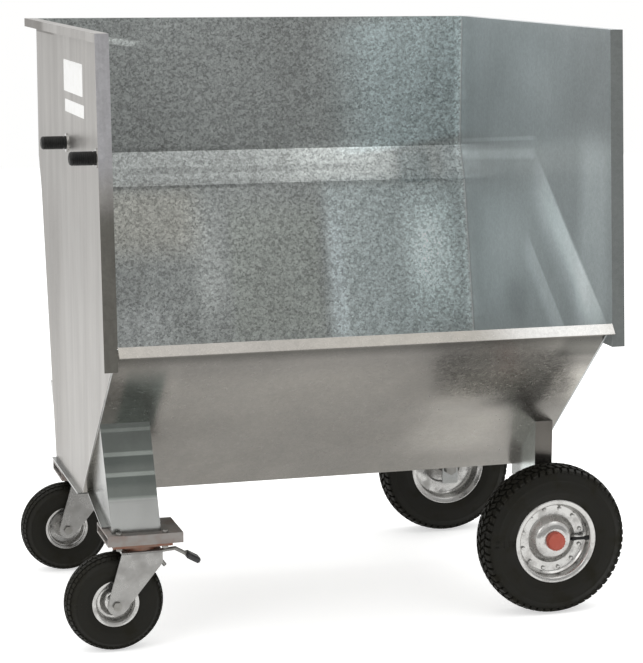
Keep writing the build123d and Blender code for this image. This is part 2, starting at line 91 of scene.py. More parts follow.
class Graph:
    """A shader or node-group tree with short calls for adding and joining nodes."""

    def __init__(self, tree: bpy.types.NodeTree) -> None:
        """Wraps the tree.

        Args:
            tree: the node tree to fill.
        """
        self.tree = tree

    def add(self, kind: str, **settings: object) -> bpy.types.Node:
        """Adds a node.

        Args:
            kind: the node's Blender type.
            settings: attributes to set on it.

        Returns:
            The new node.
        """
        node = self.tree.nodes.new(kind)
        for name, value in settings.items():
            setattr(node, name, value)
        return node

    def join(self, source: bpy.types.NodeSocket, target: bpy.types.NodeSocket) -> None:
        """Links an output to an input."""
        self.tree.links.new(source, target)

    def feed(self, target: bpy.types.NodeSocket, value: object) -> None:
        """Links a socket, or sets a plain value.

        Args:
            target: the input to feed.
            value: an output socket, a number or a colour.
        """
        if isinstance(value, bpy.types.NodeSocket):
            self.join(value, target)
        else:
            target.default_value = value

    def math(self, operation: str, first: object, second: object) -> bpy.types.NodeSocket:
        """Adds a Math node.

        Args:
            operation: the sum to do.
            first: the first number or socket.
            second: the second number or socket.

        Returns:
            The node's output.
        """
        node = self.add("ShaderNodeMath", operation=operation)
        self.feed(node.inputs[0], first)
        self.feed(node.inputs[1], second)
        return node.outputs[0]

    def span(self, value: bpy.types.NodeSocket, low: float, high: float, start: float = 0.0,
             end: float = 1.0) -> bpy.types.NodeSocket:
        """Maps low to high on to start to end, eased and held at both ends.

        Args:
            value: the socket to map.
            low: value that gives start.
            high: value that gives end.
            start: result at low.
            end: result at high.

        Returns:
            The mapped output.
        """
        node = self.add("ShaderNodeMapRange", interpolation_type="SMOOTHSTEP", clamp=True)
        for socket, number in zip(node.inputs[1:5], (low, high, start, end)):
            socket.default_value = number
        self.join(value, node.inputs[0])
        return node.outputs[0]

    def noise(self, vector: bpy.types.NodeSocket, scale: float, detail: float = 3.0,
              rough: float = 0.55, distort: float = 0.0) -> bpy.types.NodeSocket:
        """Adds a Noise texture.

        Args:
            vector: where it is read.
            scale: features per metre.
            detail: octaves.
            rough: share of the fine octaves.
            distort: how far it warps itself.

        Returns:
            The value, near 0.5 on average.
        """
        node = self.add("ShaderNodeTexNoise", noise_dimensions="3D")
        self.join(vector, node.inputs["Vector"])
        node.inputs["Scale"].default_value = scale
        node.inputs["Detail"].default_value = detail
        node.inputs["Roughness"].default_value = rough
        node.inputs["Distortion"].default_value = distort
        return node.outputs[0]

    def mapped(self, vector: bpy.types.NodeSocket, scale: Sequence[float],
               turn: Sequence[float]) -> bpy.types.NodeSocket:
        """Adds a Mapping node.

        Args:
            vector: the coordinates to map.
            scale: stretch of each axis.
            turn: turn about each axis, in radians.

        Returns:
            The mapped coordinates.
        """
        node = self.add("ShaderNodeMapping")
        self.join(vector, node.inputs["Vector"])
        node.inputs["Rotation"].default_value = turn
        node.inputs["Scale"].default_value = scale
        return node.outputs[0]

    def mix(self, factor: object, first: object, second: object,
            blend: str = "MIX") -> bpy.types.NodeSocket:
        """Mixes two colours.

        Args:
            factor: share of the second colour.
            first: first colour or socket.
            second: second colour or socket.
            blend: Blender's blend type.

        Returns:
            The mixed colour.
        """
        node = self.add("ShaderNodeMix", data_type="RGBA", blend_type=blend, clamp_factor=True)
        self.feed(node.inputs[0], factor)
        for socket, value in ((node.inputs[6], first), (node.inputs[7], second)):
            self.feed(socket, (*value, 1.0) if isinstance(value, tuple) else value)
        return node.outputs[2]

    def seen(self) -> bpy.types.NodeSocket:
        """Tells what the camera sees, straight or in a reflection, from soft light.

        Returns:
            1 for what is seen and 0 for soft light.
        """
        light = self.add("ShaderNodeLightPath").outputs
        mirrored = self.math("MAXIMUM", light["Is Glossy Ray"], light["Is Transmission Ray"])
        return self.math("MAXIMUM", light["Is Camera Ray"], mirrored)

    def group(self, tree: bpy.types.NodeTree, **values: object) -> bpy.types.Node:
        """Places a node group.

        Args:
            tree: the group.
            values: its inputs, with spaces in their names written as underscores.

        Returns:
            The group's node.
        """
        node = self.add("ShaderNodeGroup", node_tree=tree)
        for name, value in values.items():
            self.feed(node.inputs[name.replace("_", " ")], value)
        return node


def new_group(name: str, inputs: dict[str, float | None], outputs: Iterable[str]) \
        -> tuple[Graph, bpy.types.Node, bpy.types.Node]:
    """Starts a shader node group.

    Args:
        name: the group's name.
        inputs: input names, with a default number, or None for a vector.
        outputs: names of its value outputs.

    Returns:
        The graph, its input node and its output node.
    """
    tree = bpy.data.node_groups.new(name, "ShaderNodeTree")
    for label, number in inputs.items():
        kind = "NodeSocketVector" if number is None else "NodeSocketFloat"
        socket = tree.interface.new_socket(name=label, in_out="INPUT", socket_type=kind)
        if number is not None:
            socket.default_value = number
    for label in outputs:
        tree.interface.new_socket(name=label, in_out="OUTPUT", socket_type="NodeSocketFloat")
    graph = Graph(tree)
    return graph, graph.add("NodeGroupInput"), graph.add("NodeGroupOutput")


class Effects:
    """Node groups that several finishes share."""

    def __init__(self) -> None:
        """Builds each group once."""
        self.spangle = self._spangle()
        self.runs = self._runs()
        self.scuffs = self._scuffs()
        self.patch = self._patch()

    @staticmethod
    def _spangle() -> bpy.types.NodeTree:
        """Zinc crystals: flakes of two sizes and slow clouds.

        Returns:
            The node group.
        """
        graph, given, made = new_group(
            "zinc_spangle", {"Vector": None, "Flakes": 110.0, "Depth": 0.3, "Cloud": 0.15},
            ("Tone", "Grain"))
        vector = given.outputs["Vector"]
        flakes = []
        for share in (1.0, 2.6):
            cells = graph.add("ShaderNodeTexVoronoi", feature="F1", voronoi_dimensions="3D")
            graph.join(vector, cells.inputs["Vector"])
            graph.join(graph.math("MULTIPLY", given.outputs["Flakes"], share), cells.inputs["Scale"])
            parts = graph.add("ShaderNodeSeparateColor")
            graph.join(cells.outputs["Color"], parts.inputs[0])
            flakes.append(parts.outputs[0])
        fine = graph.math("MULTIPLY", flakes[1], 0.45)
        grain = graph.math("ADD", graph.math("MULTIPLY", flakes[0], 0.55), fine)
        swing = graph.math("MULTIPLY", graph.math("SUBTRACT", grain, 0.5), given.outputs["Depth"])
        slow = graph.math("SUBTRACT", graph.noise(vector, 2.6, 4.0, 0.6), 0.5)
        cloud = graph.math("MULTIPLY", slow, given.outputs["Cloud"])
        tone = graph.math("ADD", graph.math("ADD", 1.0, graph.math("MULTIPLY", swing, 2.0)),
                          graph.math("MULTIPLY", cloud, 2.0))
        graph.join(tone, made.inputs["Tone"])
        graph.join(grain, made.inputs["Grain"])
        return graph.tree

    @staticmethod
    def _runs() -> bpy.types.NodeTree:
        """Upright run marks left by draining zinc and by rain.

        Returns:
            The node group.
        """
        graph, given, made = new_group("run_marks", {"Vector": None}, ("Mask",))
        lean = (math.radians(7.0), 0.0, 0.0)
        long_way = graph.mapped(given.outputs["Vector"], (9, 9, 0.9), lean)
        fine_way = graph.mapped(given.outputs["Vector"], (34, 34, 2.6), lean)
        long_marks = graph.noise(long_way, 1.0, 5.0, 0.62, 0.8)
        fine_marks = graph.noise(fine_way, 1.0, 4.0, 0.65, 0.5)
        both = graph.math("ADD", graph.math("MULTIPLY", long_marks, 0.7),
                          graph.math("MULTIPLY", fine_marks, 0.3))
        graph.join(graph.span(both, 0.36, 0.66), made.inputs["Mask"])
        return graph.tree

    @staticmethod
    def _scuffs() -> bpy.types.NodeTree:
        """Dust and rubbing in soft patches with fine specks.

        Returns:
            The node group.
        """
        graph, given, made = new_group("scuffs", {"Vector": None, "Size": 12.0}, ("Mask", "Speck"))
        node = graph.add("ShaderNodeTexNoise", noise_dimensions="3D")
        graph.join(given.outputs["Vector"], node.inputs["Vector"])
        graph.join(given.outputs["Size"], node.inputs["Scale"])
        node.inputs["Detail"].default_value = 6.0
        node.inputs["Roughness"].default_value = 0.65
        graph.join(graph.span(node.outputs[0], 0.42, 0.72), made.inputs["Mask"])
        graph.join(graph.noise(given.outputs["Vector"], 650.0, 2.0), made.inputs["Speck"])
        return graph.tree

    @staticmethod
    def _patch() -> bpy.types.NodeTree:
        """A soft-edged rectangle from -1 to 1 in U and V, each edge fading over its own share.

        Returns:
            The node group.
        """
        graph, given, made = new_group(
            "soft_patch", {"U": 0.0, "V": 0.0, "Ends": 0.5, "Foot": 0.5, "Head": 0.5}, ("Mask",))
        edges = (("U", 1.0, "Ends"), ("U", -1.0, "Ends"), ("V", 1.0, "Foot"), ("V", -1.0, "Head"))
        fades = []
        for way, sign, share in edges:
            edge = graph.math("ADD", graph.math("MULTIPLY", given.outputs[way], sign), 1.0)
            fade = graph.add("ShaderNodeMapRange", interpolation_type="SMOOTHSTEP", clamp=True)
            graph.join(edge, fade.inputs[0])
            graph.join(given.outputs[share], fade.inputs[2])
            fades.append(fade.outputs[0])
        along = graph.math("MULTIPLY", fades[0], fades[1])
        up = graph.math("MULTIPLY", fades[2], fades[3])
        graph.join(graph.math("MULTIPLY", along, up), made.inputs["Mask"])
        return graph.tree


def new_material(name: str) -> tuple[bpy.types.Material, Graph, bpy.types.Node, bpy.types.NodeSocket]:
    """Starts a material.

    Args:
        name: the material's name.

    Returns:
        The material, its graph, its Principled shader and its Object coordinates.
    """
    material = bpy.data.materials.new(name)
    material.use_nodes = True
    graph = Graph(material.node_tree)
    shader = material.node_tree.nodes["Principled BSDF"]
    where = graph.add("ShaderNodeTexCoord").outputs["Object"]
    return material, graph, shader, where


def add_bump(graph: Graph, shader: bpy.types.Node, height: bpy.types.NodeSocket, depth: float,
             strength: float = 1.0) -> None:
    """Feeds a height into the shader's normal.

    Args:
        graph: the material's graph.
        shader: its Principled shader.
        height: the height, 0 to 1.
        depth: what 1 stands for, in metres.
        strength: how much of it shows.
    """
    bump = graph.add("ShaderNodeBump")
    bump.inputs["Strength"].default_value = strength
    bump.inputs["Distance"].default_value = depth
    graph.join(height, bump.inputs["Height"])
    graph.join(bump.outputs["Normal"], shader.inputs["Normal"])


class Face(Enum):
    """Which way a face looks: the axis and its sign, then the axes along and across a patch on it."""

    TO_HANDLE = (0, -1.0, 1, 2)
    TO_LOADING = (1, -1.0, 0, 2)
    UP = (2, 1.0, 0, 1)


@dataclass(frozen=True)
class Patch:
    """A soft patch painted lighter or darker on the zinc, mostly standing in for reflections, highlights
    and shade: its face, place and half size there, tint and edges.
    """

    face: Face
    centre: Point
    half: Point
    tint: Colour
    tilt: float = 0.0
    ends: float = 0.5
    foot: float = 0.5
    head: float = 0.5

    def mask(self, graph: Graph, effects: Effects, where: bpy.types.NodeSocket,
             normal: bpy.types.NodeSocket) -> bpy.types.NodeSocket:
        """Adds the patch's mask.

        Args:
            graph: the material's graph.
            effects: the shared node groups.
            where: Object coordinates.
            normal: object normals.

        Returns:
            The mask, 1 inside the patch.
        """
        axis, sign, along, across = self.face.value
        place, size, turn = [0.0] * 3, [1.0] * 3, [0.0] * 3
        place[along], place[across] = self.centre
        size[along], size[across] = self.half
        turn[axis] = math.radians(self.tilt)
        mapping = graph.add("ShaderNodeMapping", vector_type="TEXTURE")
        graph.join(where, mapping.inputs["Vector"])
        for name, value in (("Location", place), ("Rotation", turn), ("Scale", size)):
            mapping.inputs[name].default_value = value
        spot = graph.add("ShaderNodeSeparateXYZ")
        graph.join(mapping.outputs[0], spot.inputs[0])
        patch = graph.group(effects.patch, U=spot.outputs[along], V=spot.outputs[across], Ends=self.ends,
                            Foot=self.foot, Head=self.head).outputs["Mask"]
        way = graph.add("ShaderNodeSeparateXYZ")
        graph.join(normal, way.inputs[0])
        faced = graph.span(graph.math("MULTIPLY", way.outputs[axis], sign), 0.3, 0.6)
        return graph.math("MULTIPLY", patch, faced)


@dataclass(frozen=True)
class Galvanised:
    """Hot-dip galvanised sheet: zinc flakes, clouds, upright run marks, and patches of painted reflection,
    highlight and shade.
    """

    name: str
    colour: Colour
    stain: Colour = (0.155, 0.155, 0.147)
    flakes: float = 120.0
    depth: float = 0.12
    cloud: float = 0.12
    runs: float = 0.25
    roughness: float = 0.24
    rough_swing: float = 0.10
    ripple: float = 6.0 * MM
    metal: float = 0.92
    edge: float = 1.0
    patches: Sequence[Patch] = ()

    def material(self, effects: Effects) -> bpy.types.Material:
        """Builds the material.

        Args:
            effects: the shared node groups.

        Returns:
            The material.
        """
        material, graph, shader, where = new_material(self.name)
        spangle = graph.group(effects.spangle, Vector=where, Flakes=self.flakes, Depth=self.depth,
                              Cloud=self.cloud)
        runs = graph.group(effects.runs, Vector=where).outputs["Mask"]
        toned = graph.mix(1.0, self.colour, spangle.outputs["Tone"], "MULTIPLY")
        colour = graph.mix(graph.math("MULTIPLY", runs, self.runs), toned, self.stain)
        normal = graph.add("ShaderNodeTexCoord").outputs["Normal"]
        # The patches paint reflections, highlights and shade into the base colour.
        for patch in self.patches:
            mask = patch.mask(graph, effects, where, normal)
            colour = graph.mix(mask, colour, graph.mix(1.0, colour, patch.tint, "MULTIPLY"))
        graph.join(colour, shader.inputs["Base Color"])
        grain = graph.math("MULTIPLY", spangle.outputs["Grain"], self.rough_swing)
        graph.join(graph.math("ADD", grain, self.roughness), shader.inputs["Roughness"])
        shader.inputs["Metallic"].default_value = self.metal
        shader.inputs["Specular Tint"].default_value = (self.edge, self.edge, self.edge, 1.0)
        add_bump(graph, shader, graph.noise(where, 3.4, 2.0, 0.45), self.ripple)
        return material


@dataclass(frozen=True)
class BrightZinc:
    """Zinc-plated steel, a little dusty and stained in the hollows."""

    name: str
    colour: Colour = (0.66, 0.655, 0.64)
    stain: Colour = (0.185, 0.17, 0.155)
    stained: float = 0.45
    roughness: float = 0.26
    scuff_size: float = 26.0
    scuff_rough: float = 0.3
    metal: float = 0.9
    grain: float = 0.2 * MM

    def material(self, effects: Effects) -> bpy.types.Material:
        """Builds the material.

        Args:
            effects: the shared node groups.

        Returns:
            The material.
        """
        material, graph, shader, where = new_material(self.name)
        scuffs = graph.group(effects.scuffs, Vector=where, Size=self.scuff_size)
        share = graph.math("MULTIPLY", scuffs.outputs["Mask"], self.stained)
        graph.join(graph.mix(share, self.colour, self.stain), shader.inputs["Base Color"])
        rough = graph.math("MULTIPLY", scuffs.outputs["Mask"], self.scuff_rough)
        graph.join(graph.math("ADD", rough, self.roughness), shader.inputs["Roughness"])
        shader.inputs["Metallic"].default_value = self.metal
        add_bump(graph, shader, scuffs.outputs["Speck"], self.grain, 0.35)
        return material


@dataclass(frozen=True)
class RustySteel:
    """Bare plate with a dull brown film and rust that gathers round the swivel race."""

    name: str
    colour: Colour = (0.28, 0.265, 0.25)
    rust: Colour = (0.27, 0.095, 0.05)
    rusted: float = 0.35
    roughness: float = 0.5
    rust_roughness: float = 0.85
    scuff_size: float = 34.0
    grain: float = 0.6 * MM

    def material(self, effects: Effects) -> bpy.types.Material:
        """Builds the material.

        Args:
            effects: the shared node groups.

        Returns:
            The material.
        """
        material, graph, shader, where = new_material(self.name)
        scuffs = graph.group(effects.scuffs, Vector=where, Size=self.scuff_size)
        share = graph.math("MULTIPLY", scuffs.outputs["Mask"], self.rusted)
        graph.join(graph.mix(share, self.colour, self.rust), shader.inputs["Base Color"])
        graph.join(graph.span(scuffs.outputs["Mask"], 0.0, 1.0, self.roughness, self.rust_roughness),
                   shader.inputs["Roughness"])
        graph.join(graph.span(scuffs.outputs["Mask"], 0.0, 1.0, 0.7, 0.1), shader.inputs["Metallic"])
        add_bump(graph, shader, scuffs.outputs["Speck"], self.grain, 0.6)
        return material


@dataclass(frozen=True)
class Rubber:
    """Black rubber, greyed by dust in soft patches."""

    name: str
    colour: Colour = (0.016, 0.016, 0.014)
    dust: Colour = (0.075, 0.07, 0.06)
    dusty: float = 0.35
    roughness: float = 0.6
    dust_roughness: float = 0.88
    shine: float = 0.22
    scuff_size: float = 14.0
    grain: float = 0.4 * MM

    def material(self, effects: Effects) -> bpy.types.Material:
        """Builds the material.

        Args:
            effects: the shared node groups.

        Returns:
            The material.
        """
        material, graph, shader, where = new_material(self.name)
        scuffs = graph.group(effects.scuffs, Vector=where, Size=self.scuff_size)
        share = graph.math("MULTIPLY", scuffs.outputs["Mask"], self.dusty)
        graph.join(graph.mix(share, self.colour, self.dust), shader.inputs["Base Color"])
        graph.join(graph.span(scuffs.outputs["Mask"], 0.0, 1.0, self.roughness, self.dust_roughness),
                   shader.inputs["Roughness"])
        shader.inputs["Specular IOR Level"].default_value = self.shine
        add_bump(graph, shader, scuffs.outputs["Speck"], self.grain, 0.5)
        return material


@dataclass(frozen=True)
class Plastic:
    """Moulded plastic with a fine grain and light fading."""

    name: str
    colour: Colour
    faded: Colour
    roughness: float = 0.45
    fade_rough: float = 0.25
    scuff_size: float = 40.0
    grain: float = 0.2 * MM

    def material(self, effects: Effects) -> bpy.types.Material:
        """Builds the material.

        Args:
            effects: the shared node groups.

        Returns:
            The material.
        """
        material, graph, shader, where = new_material(self.name)
        scuffs = graph.group(effects.scuffs, Vector=where, Size=self.scuff_size)
        graph.join(graph.mix(scuffs.outputs["Mask"], self.colour, self.faded), shader.inputs["Base Color"])
        graph.join(graph.span(scuffs.outputs["Mask"], 0.0, 1.0, self.roughness,
                              self.roughness + self.fade_rough),
                   shader.inputs["Roughness"])
        add_bump(graph, shader, scuffs.outputs["Speck"], self.grain, 0.4)
        return material


# Painted reflections, highlights and shade on the back wall's inner face: lighter upright bands low down, a
# lighter bluish upper right, a step band painted darker in places and lighter in others with darker lines
# along it, and a painted glint near the upper left corner. The narrow band at x 0.578 lightens the zinc
# along the corner seam.
BACK_PAINTED_LIGHT = (
    Patch(Face.TO_LOADING, (-0.19, 0.87), (0.07, 0.20), (1.34, 1.34, 1.34), ends=0.9),
    Patch(Face.TO_LOADING, (0.0, 0.82), (0.15, 0.25), (1.09, 1.10, 1.06), ends=0.25),
    Patch(Face.TO_LOADING, (0.37, 0.82), (0.24, 0.28), (1.42, 1.49, 1.52), ends=0.2, head=0.25),
    Patch(Face.TO_LOADING, (0.18, 0.80), (0.04, 0.24), (1.2, 1.2, 1.22), ends=0.8),
    Patch(Face.TO_LOADING, (0.49, 0.85), (0.12, 0.22), (1.22, 1.24, 1.24), ends=0.8),
    Patch(Face.TO_LOADING, (0.46, 0.87), (0.12, 0.20), (1.42, 1.42, 1.42), -10.0, 0.9, 0.9, 0.9),
    Patch(Face.TO_LOADING, (-0.38, 0.96), (0.20, 0.13), (1.30, 1.24, 1.17), foot=0.9),
    Patch(Face.TO_LOADING, (0.45, 1.37), (0.32, 0.21), (1.45, 1.58, 1.63), -8.0, 0.7, 0.15, 0.3),
    Patch(Face.TO_LOADING, (-0.30, 1.12), (0.36, 0.06), (0.78, 0.78, 0.78), ends=0.5, foot=0.1, head=0.1),
    Patch(Face.TO_LOADING, (-0.10, 1.112), (0.50, 0.012), (0.82, 0.82, 0.82)),
    Patch(Face.TO_LOADING, (0.0, 1.078), (0.66, 0.02), (0.86, 0.86, 0.86), ends=0.1, head=0.9),
    Patch(Face.TO_LOADING, (0.22, 1.13), (0.18, 0.06), (1.20, 1.20, 1.20), ends=0.4, foot=0.2, head=0.2),
    Patch(Face.TO_LOADING, (0.435, 1.12), (0.06, 0.06), (0.82, 0.85, 0.86), ends=0.4, foot=0.1, head=0.8),
    Patch(Face.TO_LOADING, (0.56, 1.12), (0.06, 0.06), (1.18, 1.20, 1.22), ends=0.8, foot=0.1, head=0.1),
    Patch(Face.TO_LOADING, (-0.40, 0.68), (0.12, 0.10), (1.28, 1.28, 1.30), ends=0.8, foot=0.1, head=0.8),
    Patch(Face.TO_LOADING, (0.578, 1.0), (0.016, 0.60), (1.35, 1.35, 1.35), ends=0.8, foot=0.05, head=0.05),
    Patch(Face.TO_LOADING, (-0.43, 1.474), (0.07, 0.011), (1.9, 1.9, 1.9), 8.0, 0.6),
)
# Painted reflections and shade on the wheel end wall: lighter diagonal bands at 37.5 degrees rising back
# from the lip, two thin lighter lines that mirror the back wall's step, soft lighter and darker areas, and
# painted shade on its front flange.
WHEEL_END_PAINTED_LIGHT = (
    Patch(Face.TO_HANDLE, (-0.27, 0.93), (0.36, 0.085), (1.72, 1.72, 1.72), 37.5, 0.5, 1.4, 0.15),
    Patch(Face.TO_HANDLE, (-0.29, 0.95), (0.22, 0.05), (1.36, 1.37, 1.38), 37.5, 0.9, 1.2, 0.2),
    Patch(Face.TO_HANDLE, (-0.13, 0.82), (0.22, 0.05), (1.45, 1.45, 1.45), 37.5, 0.5, 1.2, 0.2),
    Patch(Face.TO_HANDLE, (0.24, 1.165), (0.31, 0.020), (1.28, 1.28, 1.28), -5.6, 0.15, 0.7, 0.7),
    Patch(Face.TO_HANDLE, (0.24, 1.207), (0.31, 0.008), (1.25, 1.25, 1.25), -5.6, 0.15, 0.7, 0.7),
    Patch(Face.TO_HANDLE, (0.06, 0.78), (0.12, 0.10), (0.78, 0.78, 0.78), 0.0, 0.8, 0.8, 0.8),
    Patch(Face.TO_HANDLE, (-0.05, 1.38), (0.30, 0.16), (1.14, 1.14, 1.14), 0.0, 0.9, 0.9, 0.9),
    Patch(Face.TO_HANDLE, (-0.45, 1.02), (0.13, 0.30), (1.38, 1.38, 1.38), 0.0, 0.7, 0.5, 0.5),
    Patch(Face.TO_LOADING, (0.60, 1.2), (0.2, 0.5), (0.52, 0.51, 0.49), ends=0.1, foot=0.1, head=0.1),
)
# Painted light and shade on the handle end wall: its front flange painted dark low down and lighter and
# bluer high up, its outer face lighter high up and darker low down and towards the back, and a painted
# shadow under the top rim.
HANDLE_END_PAINTED_LIGHT = (
    Patch(Face.TO_LOADING, (-0.65, 0.95), (0.2, 0.24), (0.45, 0.45, 0.42), ends=0.1, foot=0.1, head=0.4),
    Patch(Face.TO_LOADING, (-0.65, 1.36), (0.2, 0.20), (1.25, 1.28, 1.38), ends=0.1, head=0.1),
    Patch(Face.TO_HANDLE, (0.0, 1.36), (0.70, 0.20), (1.14, 1.14, 1.14), 0.0, 0.1, 0.8, 0.1),
    Patch(Face.TO_HANDLE, (0.0, 0.98), (0.70, 0.22), (0.93, 0.93, 0.93), 0.0, 0.1, 0.8, 0.8),
    Patch(Face.TO_HANDLE, (0.42, 0.76), (0.36, 0.42), (0.82, 0.81, 0.80), 0.0, 0.6, 0.1, 0.6),
    Patch(Face.TO_HANDLE, (0.46, 1.525), (0.26, 0.02), (0.48, 0.46, 0.44), 0.0, 0.4, 0.1, 0.1),
)
# Painted reflections and shade on the loading panel: light blobs on its right half, a darker strip between
# them and the lip, a dark teal reflection with a lighter strip beside it near the handle end, a painted
# shadow under the lip, and painted highlights on the upward faces, brightest and bluest on the right half
# of the lip.
PANEL_PAINTED_LIGHT = (
    Patch(Face.TO_LOADING, (0.32, 0.52), (0.20, 0.14), (1.55, 1.55, 1.55), 0.0, 0.8, 0.6, 0.8),
    Patch(Face.TO_LOADING, (0.55, 0.63), (0.06, 0.08), (2.3, 2.3, 2.3), 0.0, 0.6, 0.7, 0.7),
    Patch(Face.TO_LOADING, (0.31, 0.645), (0.14, 0.075), (2.1, 2.1, 2.06), 0.0, 0.9, 0.9, 0.9),
    Patch(Face.TO_LOADING, (0.44, 0.65), (0.10, 0.07), (1.5, 1.52, 1.5), 0.0, 0.9, 0.9, 0.9),
    Patch(Face.TO_LOADING, (0.55, 0.75), (0.09, 0.035), (0.60, 0.61, 0.60), 0.0, 0.4, 0.5, 0.1),
    Patch(Face.TO_LOADING, (-0.18, 0.735), (0.46, 0.05), (0.85, 0.85, 0.86), 0.0, 0.2, 1.2, 0.1),
    Patch(Face.TO_LOADING, (-0.57, 0.66), (0.06, 0.11), (0.55, 0.64, 0.63), 0.0, 0.4, 0.2, 0.7),
    Patch(Face.TO_LOADING, (-0.51, 0.66), (0.045, 0.12), (1.15, 1.15, 1.15), 0.0, 0.9, 0.8, 0.8),
    Patch(Face.TO_LOADING, (0.0, 0.772), (0.70, 0.025), (0.45, 0.45, 0.44), 0.0, 0.05, 1.6, 0.1),
    Patch(Face.UP, (0.0, -0.08), (0.70, 0.44), (1.75, 1.82, 1.95), ends=0.05, foot=0.1, head=0.05),
    Patch(Face.UP, (-0.40, -0.57), (0.40, 0.2), (0.96, 0.96, 0.98), ends=0.8, foot=0.1, head=0.1),
    Patch(Face.UP, (0.45, -0.57), (0.25, 0.2), (1.90, 1.98, 2.12), ends=0.8, foot=0.1, head=0.1),
)
# Painted light and shade on the castor legs and the end rail: the handle-end leg's front painted darker,
# thin painted highlights across it with painted shade just below two of them, and a painted highlight along
# the top of the rail.
LEG_PAINTED_LIGHT = (
    Patch(Face.TO_LOADING, (-0.53, 0.50), (0.15, 0.12), (0.45, 0.48, 0.46), ends=0.1, foot=0.15, head=0.1),
    Patch(Face.TO_LOADING, (-0.53, 0.432), (0.15, 0.018), (0.74, 0.76, 0.76), ends=0.2, foot=1.2, head=0.2),
    Patch(Face.TO_LOADING, (-0.53, 0.484), (0.15, 0.018), (0.74, 0.76, 0.76), ends=0.2, foot=1.2, head=0.2),
    Patch(Face.TO_LOADING, (-0.53, 0.392), (0.15, 0.007), (1.35, 1.35, 1.35), ends=0.2),
    Patch(Face.TO_LOADING, (-0.53, 0.454), (0.15, 0.007), (1.9, 1.9, 1.9), ends=0.2),
    Patch(Face.TO_LOADING, (-0.53, 0.506), (0.15, 0.007), (1.9, 1.9, 1.9), ends=0.2),
    Patch(Face.TO_LOADING, (-0.53, 0.567), (0.15, 0.006), (1.6, 1.6, 1.6), ends=0.2),
    Patch(Face.UP, (-0.64, -0.20), (0.04, 0.30), (1.7, 1.7, 1.7), ends=0.1, foot=0.1, head=0.1),
)
# On the axle legs: the strap's front darkened to a brown grey, and a painted reflection, light and bluish,
# on the side plate where it faces the loading panel.
AXLE_LEG_PAINTED_LIGHT = (
    Patch(Face.TO_LOADING, (0.52, 0.40), (0.10, 0.14), (0.48, 0.44, 0.41), ends=0.1, foot=0.2, head=0.2),
    Patch(Face.TO_HANDLE, (-0.25, 0.42), (0.12, 0.14), (2.2, 2.32, 2.32), ends=0.3),
)


class Finishes:
    """Every finish on the wagon, built once."""

    def __init__(self) -> None:
        """Builds the materials."""
        effects = Effects()
        self.back_wall = Galvanised(
            "spangled_back_sheet", (0.355, 0.376, 0.368), flakes=165.0, depth=0.58, cloud=0.16,
            runs=0.22, roughness=0.28, rough_swing=0.06, metal=0.6, patches=BACK_PAINTED_LIGHT).material(effects)
        self.handle_wall = Galvanised(
            "streaked_end_sheet", (0.47, 0.455, 0.435), (0.28, 0.265, 0.25), depth=0.10, cloud=0.14,
            runs=0.5, roughness=0.30, edge=0.72, patches=HANDLE_END_PAINTED_LIGHT).material(effects)
        self.wheel_wall = Galvanised(
            "smooth_end_sheet", (0.435, 0.475, 0.484), depth=0.09, cloud=0.20, runs=0.07,
            roughness=0.24, rough_swing=0.03, metal=0.5, patches=WHEEL_END_PAINTED_LIGHT).material(effects)
        self.panel = Galvanised(
            "clouded_panel_sheet", (0.255, 0.242, 0.219), depth=0.09, cloud=0.32, runs=0.14,
            roughness=0.20, rough_swing=0.08, metal=0.85, patches=PANEL_PAINTED_LIGHT).material(effects)
        self.frame = Galvanised(
            "galvanised_legs", (0.283, 0.288, 0.280), depth=0.05, cloud=0.22, runs=0.2,
            roughness=0.24, rough_swing=0.03, patches=LEG_PAINTED_LIGHT).material(effects)
        # A copy of the leg finish that differs only in the axle legs' patches: the darker strap and the
        # painted reflection on the side plate.
        self.axle_leg = Galvanised(
            "galvanised_axle_legs", (0.283, 0.288, 0.280), depth=0.05, cloud=0.22, runs=0.2,
            roughness=0.24, rough_swing=0.03, patches=AXLE_LEG_PAINTED_LIGHT).material(effects)
        self.zinc = BrightZinc("plated_steel", (0.29, 0.286, 0.276), stained=0.14).material(effects)
        self.rim = BrightZinc(
            "plated_rim", (0.49, 0.485, 0.47), stained=0.34, roughness=0.17).material(effects)
        self.bolt = BrightZinc("dull_bolts", (0.26, 0.255, 0.24), roughness=0.4).material(effects)
        self.weld = BrightZinc(
            "weld_beads", (0.66, 0.67, 0.67), stained=0.1, roughness=0.3).material(effects)
        self.plate = RustySteel("brown_plate", rusted=0.22).material(effects)
        self.race = RustySteel("rusty_race", (0.20, 0.125, 0.095), rusted=0.9).material(effects)
        self.tyre = Rubber(
            "tyre_rubber", (0.0065, 0.006, 0.0035), (0.030, 0.027, 0.016), dusty=0.25).material(effects)
        self.grip = Rubber(
            "grip_rubber", (0.010, 0.010, 0.010), dusty=0.2, roughness=0.42).material(effects)
        self.pedal = Plastic("pedal_plastic", (0.02, 0.02, 0.02), (0.05, 0.05, 0.05)).material(effects)
        self.cap = Plastic("red_cap", (0.44, 0.078, 0.047), (0.50, 0.125, 0.09)).material(effects)
        self.label = Plastic("white_label", (0.96, 0.96, 0.95), (0.92, 0.92, 0.90), 0.5).material(effects)


def dress(node: str, material: bpy.types.Material) -> None:
    """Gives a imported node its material.

    Args:
        node: the node's name.
        material: its finish.
    """
    piece = frame["nodes"][node]
    if not piece.material_slots:
        piece.data.materials.append(material)
    for slot in piece.material_slots:
        slot.material = material
    LOG.info("dressed %s in %s", node, material.name)


